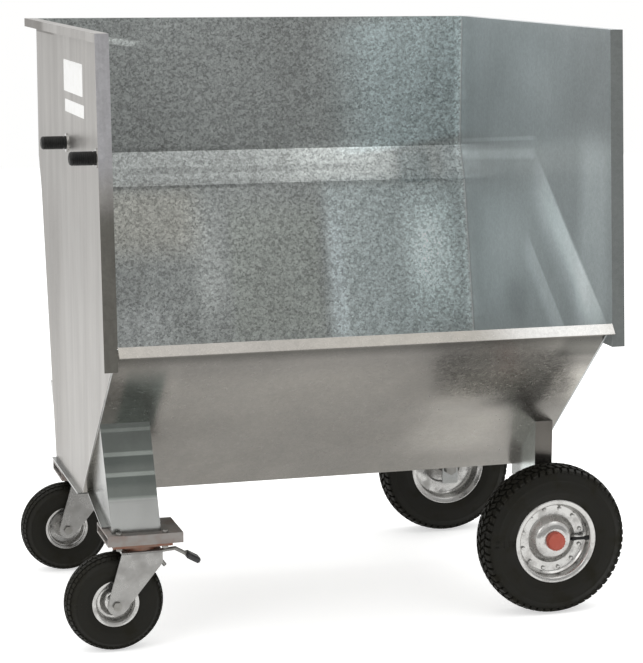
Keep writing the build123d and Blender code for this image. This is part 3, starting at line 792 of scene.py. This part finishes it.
def round_off(mesh: bmesh.types.BMesh, geom: list, offset: float, segments: int,
              affect: str = "EDGES") -> None:
    """Bevels edges or corners with a round profile.

    Args:
        mesh: the mesh that they are in.
        geom: the edges or corners.
        offset: how far the bevel reaches.
        segments: faces across it.
        affect: whether geom holds EDGES or VERTICES.
    """
    bmesh.ops.bevel(mesh, geom=geom, offset=offset, affect=affect, segments=segments, profile=0.5,
                    material=-1)


def turned(outline: Sequence[Point], rounding: float = 0.0, steps: int = 96,
           closed: bool = True) -> bmesh.types.BMesh:
    """Spins an outline about the Y axis.

    Args:
        outline: (radius, axial place) corners, in metres.
        rounding: how much each corner is rounded.
        steps: faces round the axis.
        closed: whether the last corner joins the first.

    Returns:
        The spun mesh, with its faces pointing outwards.
    """
    mesh = bmesh.new()
    corners = [mesh.verts.new((radius, place, 0.0)) for radius, place in outline]
    pairs = list(zip(corners, corners[1:]))
    if closed:
        pairs.append((corners[-1], corners[0]))
    for pair in pairs:
        mesh.edges.new(pair)
    if rounding > 0.0:
        round_off(mesh, corners if closed else corners[1:-1], rounding, 3, "VERTICES")
    bmesh.ops.spin(mesh, geom=mesh.verts[:] + mesh.edges[:], cent=(0, 0, 0), axis=(0, 1, 0),
                   angle=math.tau, steps=steps, use_merge=True)
    bmesh.ops.remove_doubles(mesh, verts=mesh.verts[:], dist=MERGE_DISTANCE)
    bmesh.ops.recalc_face_normals(mesh, faces=mesh.faces[:])
    return mesh


def add_hexagon(mesh: bmesh.types.BMesh, radius: float, height: float, place: Matrix) -> None:
    """Adds a hexagon bolt head with chamfered corners, its foot on the origin of place.

    Args:
        mesh: the mesh that it joins.
        radius: over the corners.
        height: of the head, along place's Z.
        place: where it sits.
    """
    made = bmesh.ops.create_cone(mesh, cap_ends=True, segments=6, radius1=radius, radius2=radius,
                                 depth=height, matrix=place @ Matrix.Translation((0, 0, height / 2)))
    edges = list({edge for vert in made["verts"] for edge in vert.link_edges})
    round_off(mesh, edges, radius * 0.1, 2)


def finish_piece(name: str, mesh: bmesh.types.BMesh, material: bpy.types.Material, body: str,
                 place: Matrix | None = None, replaced: Sequence[str] = ()) -> None:
    """Turns a mesh into a piece of the wagon, its object at the origin.

    Args:
        name: the piece's name.
        mesh: its mesh, freed here.
        material: its finish.
        body: the body it rides on.
        place: where its mesh goes, or None if it is in place.
        replaced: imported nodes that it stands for.
    """
    if place is not None:
        bmesh.ops.transform(mesh, matrix=place, verts=mesh.verts[:])
    data = bpy.data.meshes.new(name)
    mesh.to_mesh(data)
    mesh.free()
    data.materials.append(material)
    data.polygons.foreach_set("use_smooth", [True] * len(data.polygons))
    data.set_sharp_from_angle(angle=SMOOTH_ANGLE)
    piece = bpy.data.objects.new(name, data)
    bpy.context.scene.collection.objects.link(piece)
    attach(piece, body)
    if replaced:
        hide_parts(*replaced)
    LOG.info("built %s: %d faces on %s", name, len(data.polygons), body)


def joint_point(name: str) -> Vector:
    """Returns a joint's place in the frame."""
    return next(Vector(joint["pos_m"]) for joint in frame["joints"] if joint["name"] == name)


@dataclass(frozen=True)
class TreadRow:
    """One ring of tread blocks: its axial place as a share of half the tread, and its blocks."""

    place: float
    width: float
    length: float
    skew: float
    phase: float


@dataclass
class Tyre:
    """A block-tread tyre, modelled about the origin with its axis on Y."""

    radius: float
    width: float
    seat: float
    tread: float
    groove: float
    drop: float
    blocks: int
    rows: Sequence[TreadRow]
    steps: int = 120

    def crown(self, place: float) -> float:
        """Radius of the tread's surface at an axial place."""
        return self.radius - self.drop * (2.0 * place / self.tread) ** 2

    def carcass(self) -> bmesh.types.BMesh:
        """Spins the tyre without its blocks, its sidewalls rounded and ringed.

        Returns:
            The carcass.
        """
        half = self.width / 2
        edge = self.tread / 2
        base = self.radius - self.groove
        tall = base - self.seat
        bead = half * 0.74
        side = [
            (self.seat, bead), (self.seat + tall * 0.10, bead), (self.seat + tall * 0.13, half * 0.86),
            (self.seat + tall * 0.20, half * 0.90), (self.seat + tall * 0.34, half * 0.985),
            (self.seat + tall * 0.50, half), (self.seat + tall * 0.66, half * 0.98),
            (self.seat + tall * 0.70, half * 0.995), (self.seat + tall * 0.74, half * 0.96),
            (self.crown(edge) - self.groove - tall * 0.02, edge),
        ]
        middle = [(self.crown(share * edge) - self.groove, share * edge) for share in (0.5, 0.0, -0.5)]
        other = [(radius, -place) for radius, place in reversed(side)]
        return turned(side + middle + other, self.width * 0.012, self.steps)

    def add_blocks(self, mesh: bmesh.types.BMesh) -> None:
        """Adds every ring of blocks.

        Args:
            mesh: the carcass that they stand on.
        """
        pitch = math.tau / self.blocks
        first = len(mesh.edges)
        for row in self.rows:
            place = row.place * self.tread / 2
            slope = math.atan(self.drop * 8.0 * place / self.tread ** 2)
            top = self.crown(place)
            height = self.groove * 1.6
            length, width = row.length * pitch * self.radius, row.width * self.tread / 2
            size = Matrix.Diagonal((length, width, height, 1.0))
            for count in range(self.blocks):
                turn = Matrix.Rotation((count + row.phase) * pitch, 4, "Y")
                seat = Matrix.Translation((0, place, top - height / 2))
                tilt = Matrix.Rotation(-slope, 4, "X")
                skew = Matrix.Identity(4)
                skew[0][1] = row.skew
                bmesh.ops.create_cube(mesh, size=1.0, matrix=turn @ seat @ tilt @ skew @ size)
        round_off(mesh, mesh.edges[first:], self.groove * 0.14, 1)

    def build(self) -> bmesh.types.BMesh:
        """Builds the whole tyre.

        Returns:
            The carcass with its blocks.
        """
        mesh = self.carcass()
        mesh.edges.ensure_lookup_table()
        self.add_blocks(mesh)
        return mesh


def wheel_place(centre: Vector, side: Side) -> Matrix:
    """Places a wheel that is drawn about the origin with its outer side to +Y.

    Args:
        centre: the wheel's centre.
        side: the side it is on.

    Returns:
        The matrix to its place.
    """
    turn = Matrix.Identity(4) if side is Side.BACK else Matrix.Rotation(math.pi, 4, "Z")
    return Matrix.Translation(centre) @ turn


@dataclass
class MainWheel:
    """A fixed barrow wheel: block tyre, split rim with bolts, valve and red cap."""

    side: Side
    finishes: Finishes
    seat: float = 101.9 * MM
    rim_half: float = 44.0 * MM
    flange: float = 113.0 * MM
    disc: float = 9.0 * MM
    wall: float = 5.0 * MM
    hub_radius: float = 21.0 * MM
    hub_reach: float = 49.7 * MM
    bore_radius: float = 12.6 * MM
    crown_radius: float = 31.0 * MM
    dome_radius: float = 62.0 * MM
    dome_height: float = 27.0 * MM
    seat_gap: float = 0.3 * MM
    bolts: int = 12
    bolt_ring: float = 82.0 * MM
    bolt_radius: float = 5.5 * MM
    bolt_height: float = 5.0 * MM
    cap_ribs: int = 20
    cap_wall: float = 3.0 * MM
    valve_foot: Point = (-96.0 * MM, 30.0 * MM)
    rows: Sequence[TreadRow] = field(default_factory=lambda: (
        TreadRow(0.0, 0.30, 0.62, 0.55, 0.0),
        TreadRow(0.43, 0.34, 0.60, -0.55, 0.5), TreadRow(-0.43, 0.34, 0.60, -0.55, 0.5),
        TreadRow(0.86, 0.36, 0.66, 0.25, 0.0), TreadRow(-0.86, 0.36, 0.66, 0.25, 0.0),
    ))

    def __post_init__(self) -> None:
        """Reads the wheel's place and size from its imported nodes."""
        self.body = self.side.node("main_wheel")
        low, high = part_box(self.side.node("main_tyre"))
        self.radius = (high.z - low.z) / 2
        self.width = high.y - low.y
        self.place = wheel_place(joint_point(self.body + "_spin"), self.side)

    def build(self) -> None:
        """Builds and dresses the wheel's pieces."""
        tyre = Tyre(self.radius, self.width, self.seat, tread=82.0 * MM, groove=6.0 * MM, drop=9.0 * MM,
                    blocks=58, rows=self.rows)
        self._piece("main_tyre", tyre.build(), self.finishes.tyre, Slot.TYRE, "main_tyre")
        self._piece("main_rim", self.rim(), self.finishes.rim, Slot.ZINC, "main_rim")
        self._piece("rim_bolts", self.bolt_heads(), self.finishes.rim, Slot.ZINC)
        self._piece("valve", self.valve(), self.finishes.grip, Slot.GRIP)
        self._piece("hub_cap", self.cap(), self.finishes.cap, Slot.CAP, "hub_cap")

    def _piece(self, stem: str, mesh: bmesh.types.BMesh, material: bpy.types.Material, slot: Slot,
               *replaced: str) -> None:
        """Places one of the wheel's meshes on its body."""
        nodes = [self.side.node(name) for name in replaced]
        name = f"{stem}_{self.side.label}_dressed"
        finish_piece(name, mesh, material, self.body, self.place, nodes)

    def rim(self) -> bmesh.types.BMesh:
        """Spins the pressed rim: rolled flanges, barrel, dished disc, dome and hub.

        Returns:
            The rim.
        """
        half, seat, top = self.rim_half, self.seat - self.seat_gap, self.disc
        wall, hub, bore = self.wall, self.hub_radius, self.bore_radius
        crown, dome = self.crown_radius, self.dome_radius
        inside = seat - wall
        rise = top + self.dome_height
        return turned([
            (bore, rise), (bore, -self.hub_reach), (hub, -self.hub_reach), (hub, rise - wall),
            (crown - wall, rise - wall), (dome - wall * 1.4, top + wall), (dome - wall, top - wall),
            (inside - 6.0 * MM, top - wall), (inside, top - wall * 2.4),
            (inside, -half + 5.0 * MM), (self.flange - 2.0 * MM, -half), (self.flange, -half + 2.5 * MM),
            (self.flange - 2.0 * MM, -half + 5.0 * MM), (seat, -half + 6.0 * MM), (seat, half - 6.0 * MM),
            (self.flange - 2.0 * MM, half - 5.0 * MM), (self.flange, half - 2.5 * MM),
            (self.flange - 2.0 * MM, half), (inside + 4.0 * MM, half - 2.0 * MM), (inside, half - 8.0 * MM),
            (inside, top + 6.0 * MM), (inside - 7.0 * MM, top), (dome + 3.0 * MM, top),
            (dome - 2.0 * MM, top + 6.0 * MM), (dome - 12.0 * MM, top + 19.0 * MM),
            (dome - 20.0 * MM, rise - 2.5 * MM), (crown + 1.0 * MM, rise),
        ], 1.6 * MM)

    def bolt_heads(self) -> bmesh.types.BMesh:
        """Sets the ring of bolts that holds the two halves of the rim together.

        Returns:
            The bolt heads.
        """
        mesh = bmesh.new()
        up = Matrix.Rotation(-math.pi / 2, 4, "X")
        for count in range(self.bolts):
            turn = Matrix.Rotation(math.tau * (count + 0.5) / self.bolts, 4, "Y")
            place = turn @ Matrix.Translation((self.bolt_ring, self.disc, 0)) @ up
            add_hexagon(mesh, self.bolt_radius, self.bolt_height, place)
        return mesh

    def valve(self) -> bmesh.types.BMesh:
        """Spins the rubber valve stem that stands in from the barrel.

        Returns:
            The stem.
        """
        stem = turned([
            (0.0, 0.0), (6.5 * MM, 0.0), (6.5 * MM, 7.0 * MM), (4.2 * MM, 12.0 * MM), (4.2 * MM, 34.0 * MM),
            (5.0 * MM, 35.0 * MM), (5.0 * MM, 46.0 * MM), (0.0, 46.0 * MM),
        ], 0.6 * MM, 20, closed=False)
        turn = Matrix.Rotation(-math.pi / 2, 4, "Z")
        place = Matrix.Translation((*self.valve_foot, 0.0)) @ turn
        bmesh.ops.transform(stem, matrix=place, verts=stem.verts[:])
        return stem

    def cap(self) -> bmesh.types.BMesh:
        """Spins the red cap over the axle nut, with a stepped edge and finger ribs.

        Returns:
            The cap.
        """
        low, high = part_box(self.side.node("hub_cap"))
        radius = (high.z - low.z) / 2
        seat = self.disc + self.dome_height
        end = seat + (high.y - low.y)
        wall = self.cap_wall
        mesh = turned([(0.0, end), (radius - 7.0 * MM, end - 0.6 * MM), (radius - 2.0 * MM, end - 4.0 * MM),
                       (radius - 1.2 * MM, seat + 4.0 * MM), (radius, seat + 3.0 * MM), (radius, seat),
                       (radius - wall, seat), (radius - wall - 2.0 * MM, end - wall - 4.0 * MM),
                       (0.0, end - wall)], 0.5 * MM, 64, closed=False)
        middle = (seat + 3.0 * MM + end - 5.0 * MM) / 2
        place = Matrix.Translation((0, middle, radius - 1.2 * MM))
        size = Matrix.Diagonal((2.4 * MM, end - seat - 8.0 * MM, 1.6 * MM, 1.0))
        for count in range(self.cap_ribs):
            turn = Matrix.Rotation(math.tau * count / self.cap_ribs, 4, "Y")
            bmesh.ops.create_cube(mesh, size=1.0, matrix=turn @ place @ size)
        return mesh


@dataclass
class Castor:
    """A swivel castor: ribbed tyre on a small rim in a pressed fork, with its brake."""

    side: Side
    finishes: Finishes
    seat: float = 51.3 * MM
    seat_gap: float = 0.3 * MM
    rim_half: float = 31.0 * MM
    flange: float = 61.0 * MM
    wall: float = 4.0 * MM
    hub_radius: float = 16.0 * MM
    hub_reach: float = 45.7 * MM
    bore_radius: float = 8.1 * MM
    head_plate: float = 6.0 * MM
    bolt_spread: Point = (58.0 * MM, 42.0 * MM)
    bolt_radius: float = 8.5 * MM
    bolt_height: float = 7.0 * MM
    nut_height: float = 8.0 * MM
    rows: Sequence[TreadRow] = field(default_factory=lambda: (
        TreadRow(0.0, 0.34, 0.80, 0.35, 0.0),
        TreadRow(0.46, 0.36, 0.80, -0.35, 0.5), TreadRow(-0.46, 0.36, 0.80, -0.35, 0.5),
        TreadRow(0.90, 0.34, 0.72, 0.0, 0.0), TreadRow(-0.90, 0.34, 0.72, 0.0, 0.0),
    ))

    def __post_init__(self) -> None:
        """Reads the castor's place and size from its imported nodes."""
        self.swivel = self.side.node("castor_swivel")
        self.wheel = self.side.node("castor_wheel")
        low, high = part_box(self.side.node("castor_tyre"))
        self.radius = (high.z - low.z) / 2
        self.width = high.y - low.y
        self.place = wheel_place(joint_point(self.wheel + "_spin"), self.side)

    def build(self) -> None:
        """Builds the wheel and bolts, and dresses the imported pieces."""
        tyre = Tyre(self.radius, self.width, self.seat, tread=58.0 * MM, groove=2.6 * MM, drop=8.0 * MM,
                    blocks=52, rows=self.rows, steps=96)
        label = self.side.label
        finish_piece(f"castor_tyre_{label}_dressed", tyre.build(), self.finishes.tyre, self.wheel,
                     self.place, [self.side.node("castor_tyre")])
        finish_piece(f"castor_rim_{label}_dressed", self.rim(), self.finishes.rim, self.wheel,
                     self.place, [self.side.node("castor_rim")])
        finish_piece(f"castor_plate_bolts_{label}", self.plate_bolts(), self.finishes.bolt, "wagon")
        for stem, material in (
                ("castor_fork", self.finishes.zinc), ("castor_bolt", self.finishes.bolt),
                ("brake_lever", self.finishes.bolt), ("brake_pedal", self.finishes.pedal),
                ("castor_head", self.finishes.race), ("castor_base_plate", self.finishes.plate)):
            dress(self.side.node(stem), material)

    def rim(self) -> bmesh.types.BMesh:
        """Spins the castor's rim: flanges, barrel, shallow dome and hub.

        Returns:
            The rim.
        """
        half, seat, flange = self.rim_half, self.seat - self.seat_gap, self.flange
        inside = seat - self.wall
        hub, bore, reach = self.hub_radius, self.bore_radius, self.hub_reach
        return turned([
            (bore, reach), (bore, -reach), (hub, -reach), (hub, 10.0 * MM), (32.0 * MM, 2.0 * MM),
            (inside, 0.0), (inside, -half + 4.0 * MM), (flange - 1.5 * MM, -half),
            (flange, -half + 2.0 * MM), (flange - 1.5 * MM, -half + 4.0 * MM),
            (seat, -half + 5.0 * MM), (seat, half - 5.0 * MM),
            (flange - 1.5 * MM, half - 4.0 * MM), (flange, half - 2.0 * MM), (flange - 1.5 * MM, half),
            (inside + 2.0 * MM, half - 2.0 * MM), (inside, half - 7.0 * MM), (inside, 8.0 * MM),
            (inside - 4.0 * MM, 4.0 * MM), (36.0 * MM, 4.0 * MM), (24.0 * MM, 15.0 * MM),
            (hub, 16.0 * MM), (hub, reach),
        ], 1.0 * MM)

    def plate_bolts(self) -> bmesh.types.BMesh:
        """Sets the bolts and nuts that hold the castor to its base plate.

        Returns:
            The bolt heads and nuts.
        """
        low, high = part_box(self.side.node("castor_base_plate"))
        pin = joint_point(self.swivel)
        under = low.z - self.head_plate
        mesh = bmesh.new()
        along, across = self.bolt_spread
        for dx in (-along, along):
            for dy in (-across, across):
                foot = Vector((pin.x + dx, pin.y + dy, high.z))
                add_hexagon(mesh, self.bolt_radius, self.bolt_height, Matrix.Translation(foot))
                nut = Matrix.Translation((foot.x, foot.y, under)) @ Matrix.Rotation(math.pi, 4, "X")
                add_hexagon(mesh, self.bolt_radius, self.nut_height, nut)
        return mesh


@dataclass(frozen=True)
class WeldSeam:
    """A row of overlapping weld beads between two places."""

    start: tuple[float, float, float]
    end: tuple[float, float, float]
    radius: float = 4.0 * MM
    pitch: float = 5.2 * MM
    flatness: float = 0.55

    def add(self, mesh: bmesh.types.BMesh) -> None:
        """Adds the beads to a mesh.

        Args:
            mesh: the mesh that they join.
        """
        start, way = Vector(self.start), Vector(self.end) - Vector(self.start)
        turn = way.to_track_quat("Z", "Y").to_matrix().to_4x4()
        size = Matrix.Diagonal((1.0, 1.0, self.flatness, 1.0))
        for count in range(int(way.length / self.pitch)):
            place = Matrix.Translation(start + way.normalized() * self.pitch * (count + 0.5))
            bmesh.ops.create_icosphere(mesh, subdivisions=1, radius=self.radius, matrix=place @ turn @ size)


@dataclass
class Tub:
    """The galvanised tub, its seams, its legs and its blank labels."""

    finishes: Finishes
    labels: Sequence[tuple[Point, Point]] = (
        ((-183.0 * MM, 1372.0 * MM), (92.0 * MM, 1452.0 * MM)),
        ((-200.0 * MM, 1320.0 * MM), (78.0 * MM, 1352.0 * MM)),
    )
    label_thickness: float = 0.6 * MM
    label_corner: float = 5.0 * MM
    sheet: float = 3.0 * MM
    corners: Sequence[float] = (-656.5 * MM, 585.5 * MM)
    back_profile: Sequence[Point] = (
        (332.0 * MM, 354.0 * MM), (502.0 * MM, 1072.0 * MM), (542.0 * MM, 1165.0 * MM),
        (542.0 * MM, 1536.0 * MM))
    panel_profile: Sequence[Point] = ((-583.0 * MM, 819.0 * MM), (-78.0 * MM, 353.0 * MM))

    def build(self) -> None:
        """Dresses the sheets and legs and adds the seams and labels."""
        sheets = {
            "back_wall": self.finishes.back_wall, "handle_end_wall": self.finishes.handle_wall,
            "wheel_end_wall": self.finishes.wheel_wall, "loading_panel": self.finishes.panel,
            "floor_panel": self.finishes.panel, "handle_end_rail": self.finishes.frame,
        }
        for node, material in sheets.items():
            dress(node, material)
        for side in Side:
            dress(side.node("castor_leg"), self.finishes.frame)
            dress(side.node("axle_leg"), self.finishes.axle_leg)
            dress(side.node("stub_axle"), self.finishes.bolt)
        self.add_seams()
        self.add_labels()

    def add_seams(self) -> None:
        """Adds the weld seams in the tub's inner corners."""
        mesh = bmesh.new()
        for x in self.corners:
            for profile in (self.back_profile, self.panel_profile):
                for low, high in zip(profile, profile[1:]):
                    WeldSeam((x, *low), (x, *high)).add(mesh)
        finish_piece("inner_seams", mesh, self.finishes.weld, "wagon")

    def add_labels(self) -> None:
        """Adds the blank white labels on the outside of the handle end wall."""
        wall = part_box("floor_panel")[0].x - self.sheet
        mesh = bmesh.new()
        for low, high in self.labels:
            middle = [(a + b) / 2 for a, b in zip(low, high)]
            size = [b - a for a, b in zip(low, high)]
            place = Matrix.Translation((wall - self.label_thickness / 2, *middle))
            stretch = Matrix.Diagonal((self.label_thickness, *size, 1.0))
            bmesh.ops.create_cube(mesh, size=1.0, matrix=place @ stretch)
        least = self.label_thickness / 2
        corners = [edge for edge in mesh.edges if abs(edge.verts[0].co.x - edge.verts[1].co.x) > least]
        round_off(mesh, corners, self.label_corner, 4)
        finish_piece("blank_labels", mesh, self.finishes.label, "wagon")


@dataclass
class PushHandle:
    """A push handle with a ribbed rubber grip."""

    side: Side
    finishes: Finishes
    wall: float = 4.4 * MM
    end_wall: float = 5.9 * MM
    rib_start: float = 9.0 * MM
    rib_pitch: float = 5.0 * MM
    rib_depth: float = 0.9 * MM

    def grip(self, radius: float, length: float) -> bmesh.types.BMesh:
        """Spins the ribbed grip about Y, its open end at the origin.

        Args:
            radius: over the ribs.
            length: over all.

        Returns:
            The grip.
        """
        bore, pitch = radius - self.wall, self.rib_pitch
        low = radius - self.rib_depth
        ribs = []
        for count in range(int((length - 2 * self.rib_start) / pitch)):
            start = self.rib_start + count * pitch
            ribs += [(radius, start), (radius, start + pitch * 0.6), (low, start + pitch * 0.68),
                     (low, start + pitch * 0.92)]
        collar = [(bore, 0.0), (radius, 0.0), (radius, 4.0 * MM), (radius - 1.6 * MM, 5.0 * MM)]
        tip = [(radius, length - 7.0 * MM), (radius - 2.2 * MM, length - 2.0 * MM),
               (radius - 7.0 * MM, length), (0.0, length), (0.0, length - self.end_wall),
               (bore, length - self.end_wall)]
        return turned(collar + ribs + tip, 0.25 * MM, 48)

    def build(self) -> None:
        """Builds the grip and dresses the bar."""
        node = self.side.node("handle_grip")
        low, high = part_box(node)
        mesh = self.grip((high.z - low.z) / 2, high.x - low.x)
        foot = Matrix.Translation((high.x, (low.y + high.y) / 2, (low.z + high.z) / 2))
        finish_piece(f"grip_{self.side.label}_dressed", mesh, self.finishes.grip, "wagon",
                     foot @ Matrix.Rotation(math.pi / 2, 4, "Z"), [node])
        dress(self.side.node("push_handle"), self.finishes.rim)


@dataclass(frozen=True)
class StudioCard:
    """A flat card out of the picture that the zinc reflects, tilted about X."""

    name: str
    centre: tuple[float, float, float]
    size: Point
    tilt: float
    glow: float


@dataclass(frozen=True)
class Lamp:
    """A soft rectangular lamp: where it is, what it points at, its size and its power in watts."""

    name: str
    place: tuple[float, float, float]
    aim: tuple[float, float, float]
    size: Point
    power: float


@dataclass
class Studio:
    """Floor, world, lamps, reflecting cards and the camera."""

    eye: tuple[float, float, float] = (-1.56314, -5.39185, 1.73492)
    yaw: float = math.radians(-16.279)
    pitch: float = math.radians(-10.165)
    roll: float = math.radians(-0.205)
    focal_px: float = 2137.75
    centre_px: Point = (323.93, 330.89)
    image_px: Point = (643.0, 663.0)
    sensor_mm: float = 36.0
    ambient: float = 0.8
    floor_glow: float = 0.56
    floor_centre: tuple[float, float, float] = (0.0, 4.5, 0.0)
    floor_half: Point = (12.0, 7.0)
    cards: Sequence[StudioCard] = (
        StudioCard("dark_floor_card", (0.0, -7.2, 0.002), (26.0, 9.4), 0.0, 0.22),
        StudioCard("dark_wall_card", (0.0, -10.5, 3.35), (26.0, 6.7), math.pi / 2, 0.46),
    )
    lights: Sequence[Lamp] = (
        Lamp("overhead", (0.0, -1.0, 5.0), (0.0, -1.0, 0.0), (8.0, 6.0), 170.0),
        Lamp("upper_left", (-4.6, -3.6, 3.6), (0.0, 0.0, 0.8), (3.0, 3.0), 52.0),
    )

    def build(self) -> None:
        """Sets up the whole studio."""
        bpy.context.scene.view_settings.view_transform = "Standard"
        self.world()
        self.floor()
        for card in self.cards:
            self.card(card)
        self.lamps()
        self.camera()

    def world(self) -> None:
        """Even light for the object, with white behind it for the eye."""
        world = bpy.data.worlds.new("studio")
        world.use_nodes = True
        bpy.context.scene.world = world
        graph = Graph(world.node_tree)
        seen = graph.seen()
        backdrop = world.node_tree.nodes["Background"]
        backdrop.inputs["Color"].default_value = (1.0, 1.0, 0.995, 1.0)
        graph.join(graph.math("ADD", self.ambient, graph.math("MULTIPLY", seen, 1.0 - self.ambient)),
                   backdrop.inputs["Strength"])

    def floor(self) -> None:
        """A pale floor that keeps the wagon's shadow."""
        mesh = bmesh.new()
        place = Matrix.Translation(self.floor_centre) @ Matrix.Diagonal((*self.floor_half, 1.0, 1.0))
        bmesh.ops.create_grid(mesh, x_segments=2, y_segments=2, size=1.0, matrix=place)
        data = bpy.data.meshes.new("studio_floor")
        mesh.to_mesh(data)
        mesh.free()
        material, graph, shader, _ = new_material("pale_floor")
        shader.inputs["Base Color"].default_value = (0.86, 0.86, 0.855, 1.0)
        shader.inputs["Roughness"].default_value = 0.9
        shader.inputs["Specular IOR Level"].default_value = 0.0
        shader.inputs["Emission Color"].default_value = (1.0, 1.0, 1.0, 1.0)
        glow = graph.math("MULTIPLY", graph.seen(), self.floor_glow)
        graph.join(glow, shader.inputs["Emission Strength"])
        data.materials.append(material)
        floor = bpy.data.objects.new("studio_floor", data)
        bpy.context.scene.collection.objects.link(floor)

    def card(self, card: StudioCard) -> None:
        """Adds a reflecting card that the camera doesn't see.

        Args:
            card: its name, place, size and brightness.
        """
        mesh = bmesh.new()
        bmesh.ops.create_grid(mesh, x_segments=1, y_segments=1, size=0.5)
        turn = Matrix.Rotation(card.tilt, 4, "X")
        size = Matrix.Diagonal((*card.size, 1.0, 1.0))
        bmesh.ops.transform(mesh, matrix=Matrix.Translation(card.centre) @ turn @ size, verts=mesh.verts[:])
        data = bpy.data.meshes.new(card.name)
        mesh.to_mesh(data)
        mesh.free()
        material = bpy.data.materials.new(card.name)
        material.use_nodes = True
        shader = material.node_tree.nodes["Principled BSDF"]
        shader.inputs["Base Color"].default_value = (0.04, 0.04, 0.04, 1.0)
        shader.inputs["Roughness"].default_value = 0.9
        shader.inputs["Emission Color"].default_value = (1.0, 1.0, 1.0, 1.0)
        shader.inputs["Emission Strength"].default_value = card.glow
        data.materials.append(material)
        piece = bpy.data.objects.new(card.name, data)
        bpy.context.scene.collection.objects.link(piece)
        piece.visible_camera = False

    def lamps(self) -> None:
        """Two large soft lamps: overhead and from the upper left."""
        for light in self.lights:
            lamp = bpy.data.lights.new(light.name, "AREA")
            lamp.shape = "RECTANGLE"
            lamp.size, lamp.size_y = light.size
            lamp.energy = light.power
            piece = bpy.data.objects.new(light.name, lamp)
            piece.location = light.place
            way = Vector(light.aim) - Vector(light.place)
            piece.rotation_euler = way.to_track_quat("-Z", "Y").to_euler()
            bpy.context.scene.collection.objects.link(piece)

    def camera(self) -> None:
        """Adds the camera at the photograph's place and angle."""
        flat = math.cos(self.pitch)
        ahead = Vector((-math.sin(self.yaw) * flat, math.cos(self.yaw) * flat, math.sin(self.pitch)))
        right = ahead.cross(Vector((0, 0, 1))).normalized()
        down = ahead.cross(right)
        cos, sin = math.cos(self.roll), math.sin(self.roll)
        level, drop = cos * right + sin * down, cos * down - sin * right
        data = bpy.data.cameras.new("photo_camera")
        data.sensor_width = self.sensor_mm
        long_side = max(self.image_px)
        data.lens = self.focal_px * self.sensor_mm / long_side
        data.shift_x = (self.image_px[0] / 2 - self.centre_px[0]) / long_side
        data.shift_y = (self.centre_px[1] - self.image_px[1] / 2) / long_side
        data.clip_end = 60.0
        camera = bpy.data.objects.new("photo_camera", data)
        turn = Matrix((level, -drop, -ahead)).transposed().to_4x4()
        camera.matrix_world = Matrix.Translation(self.eye) @ turn
        bpy.context.scene.collection.objects.link(camera)
        bpy.context.scene.camera = camera


def main() -> None:
    """Builds the studio and every sub-assembly in order."""
    logging.basicConfig(level=logging.INFO, format="%(name)s: %(message)s")
    Studio().build()
    finishes = Finishes()
    Tub(finishes).build()
    for side in Side:
        MainWheel(side, finishes).build()
        Castor(side, finishes).build()
        PushHandle(side, finishes).build()


if __name__ == "__main__":
    main()
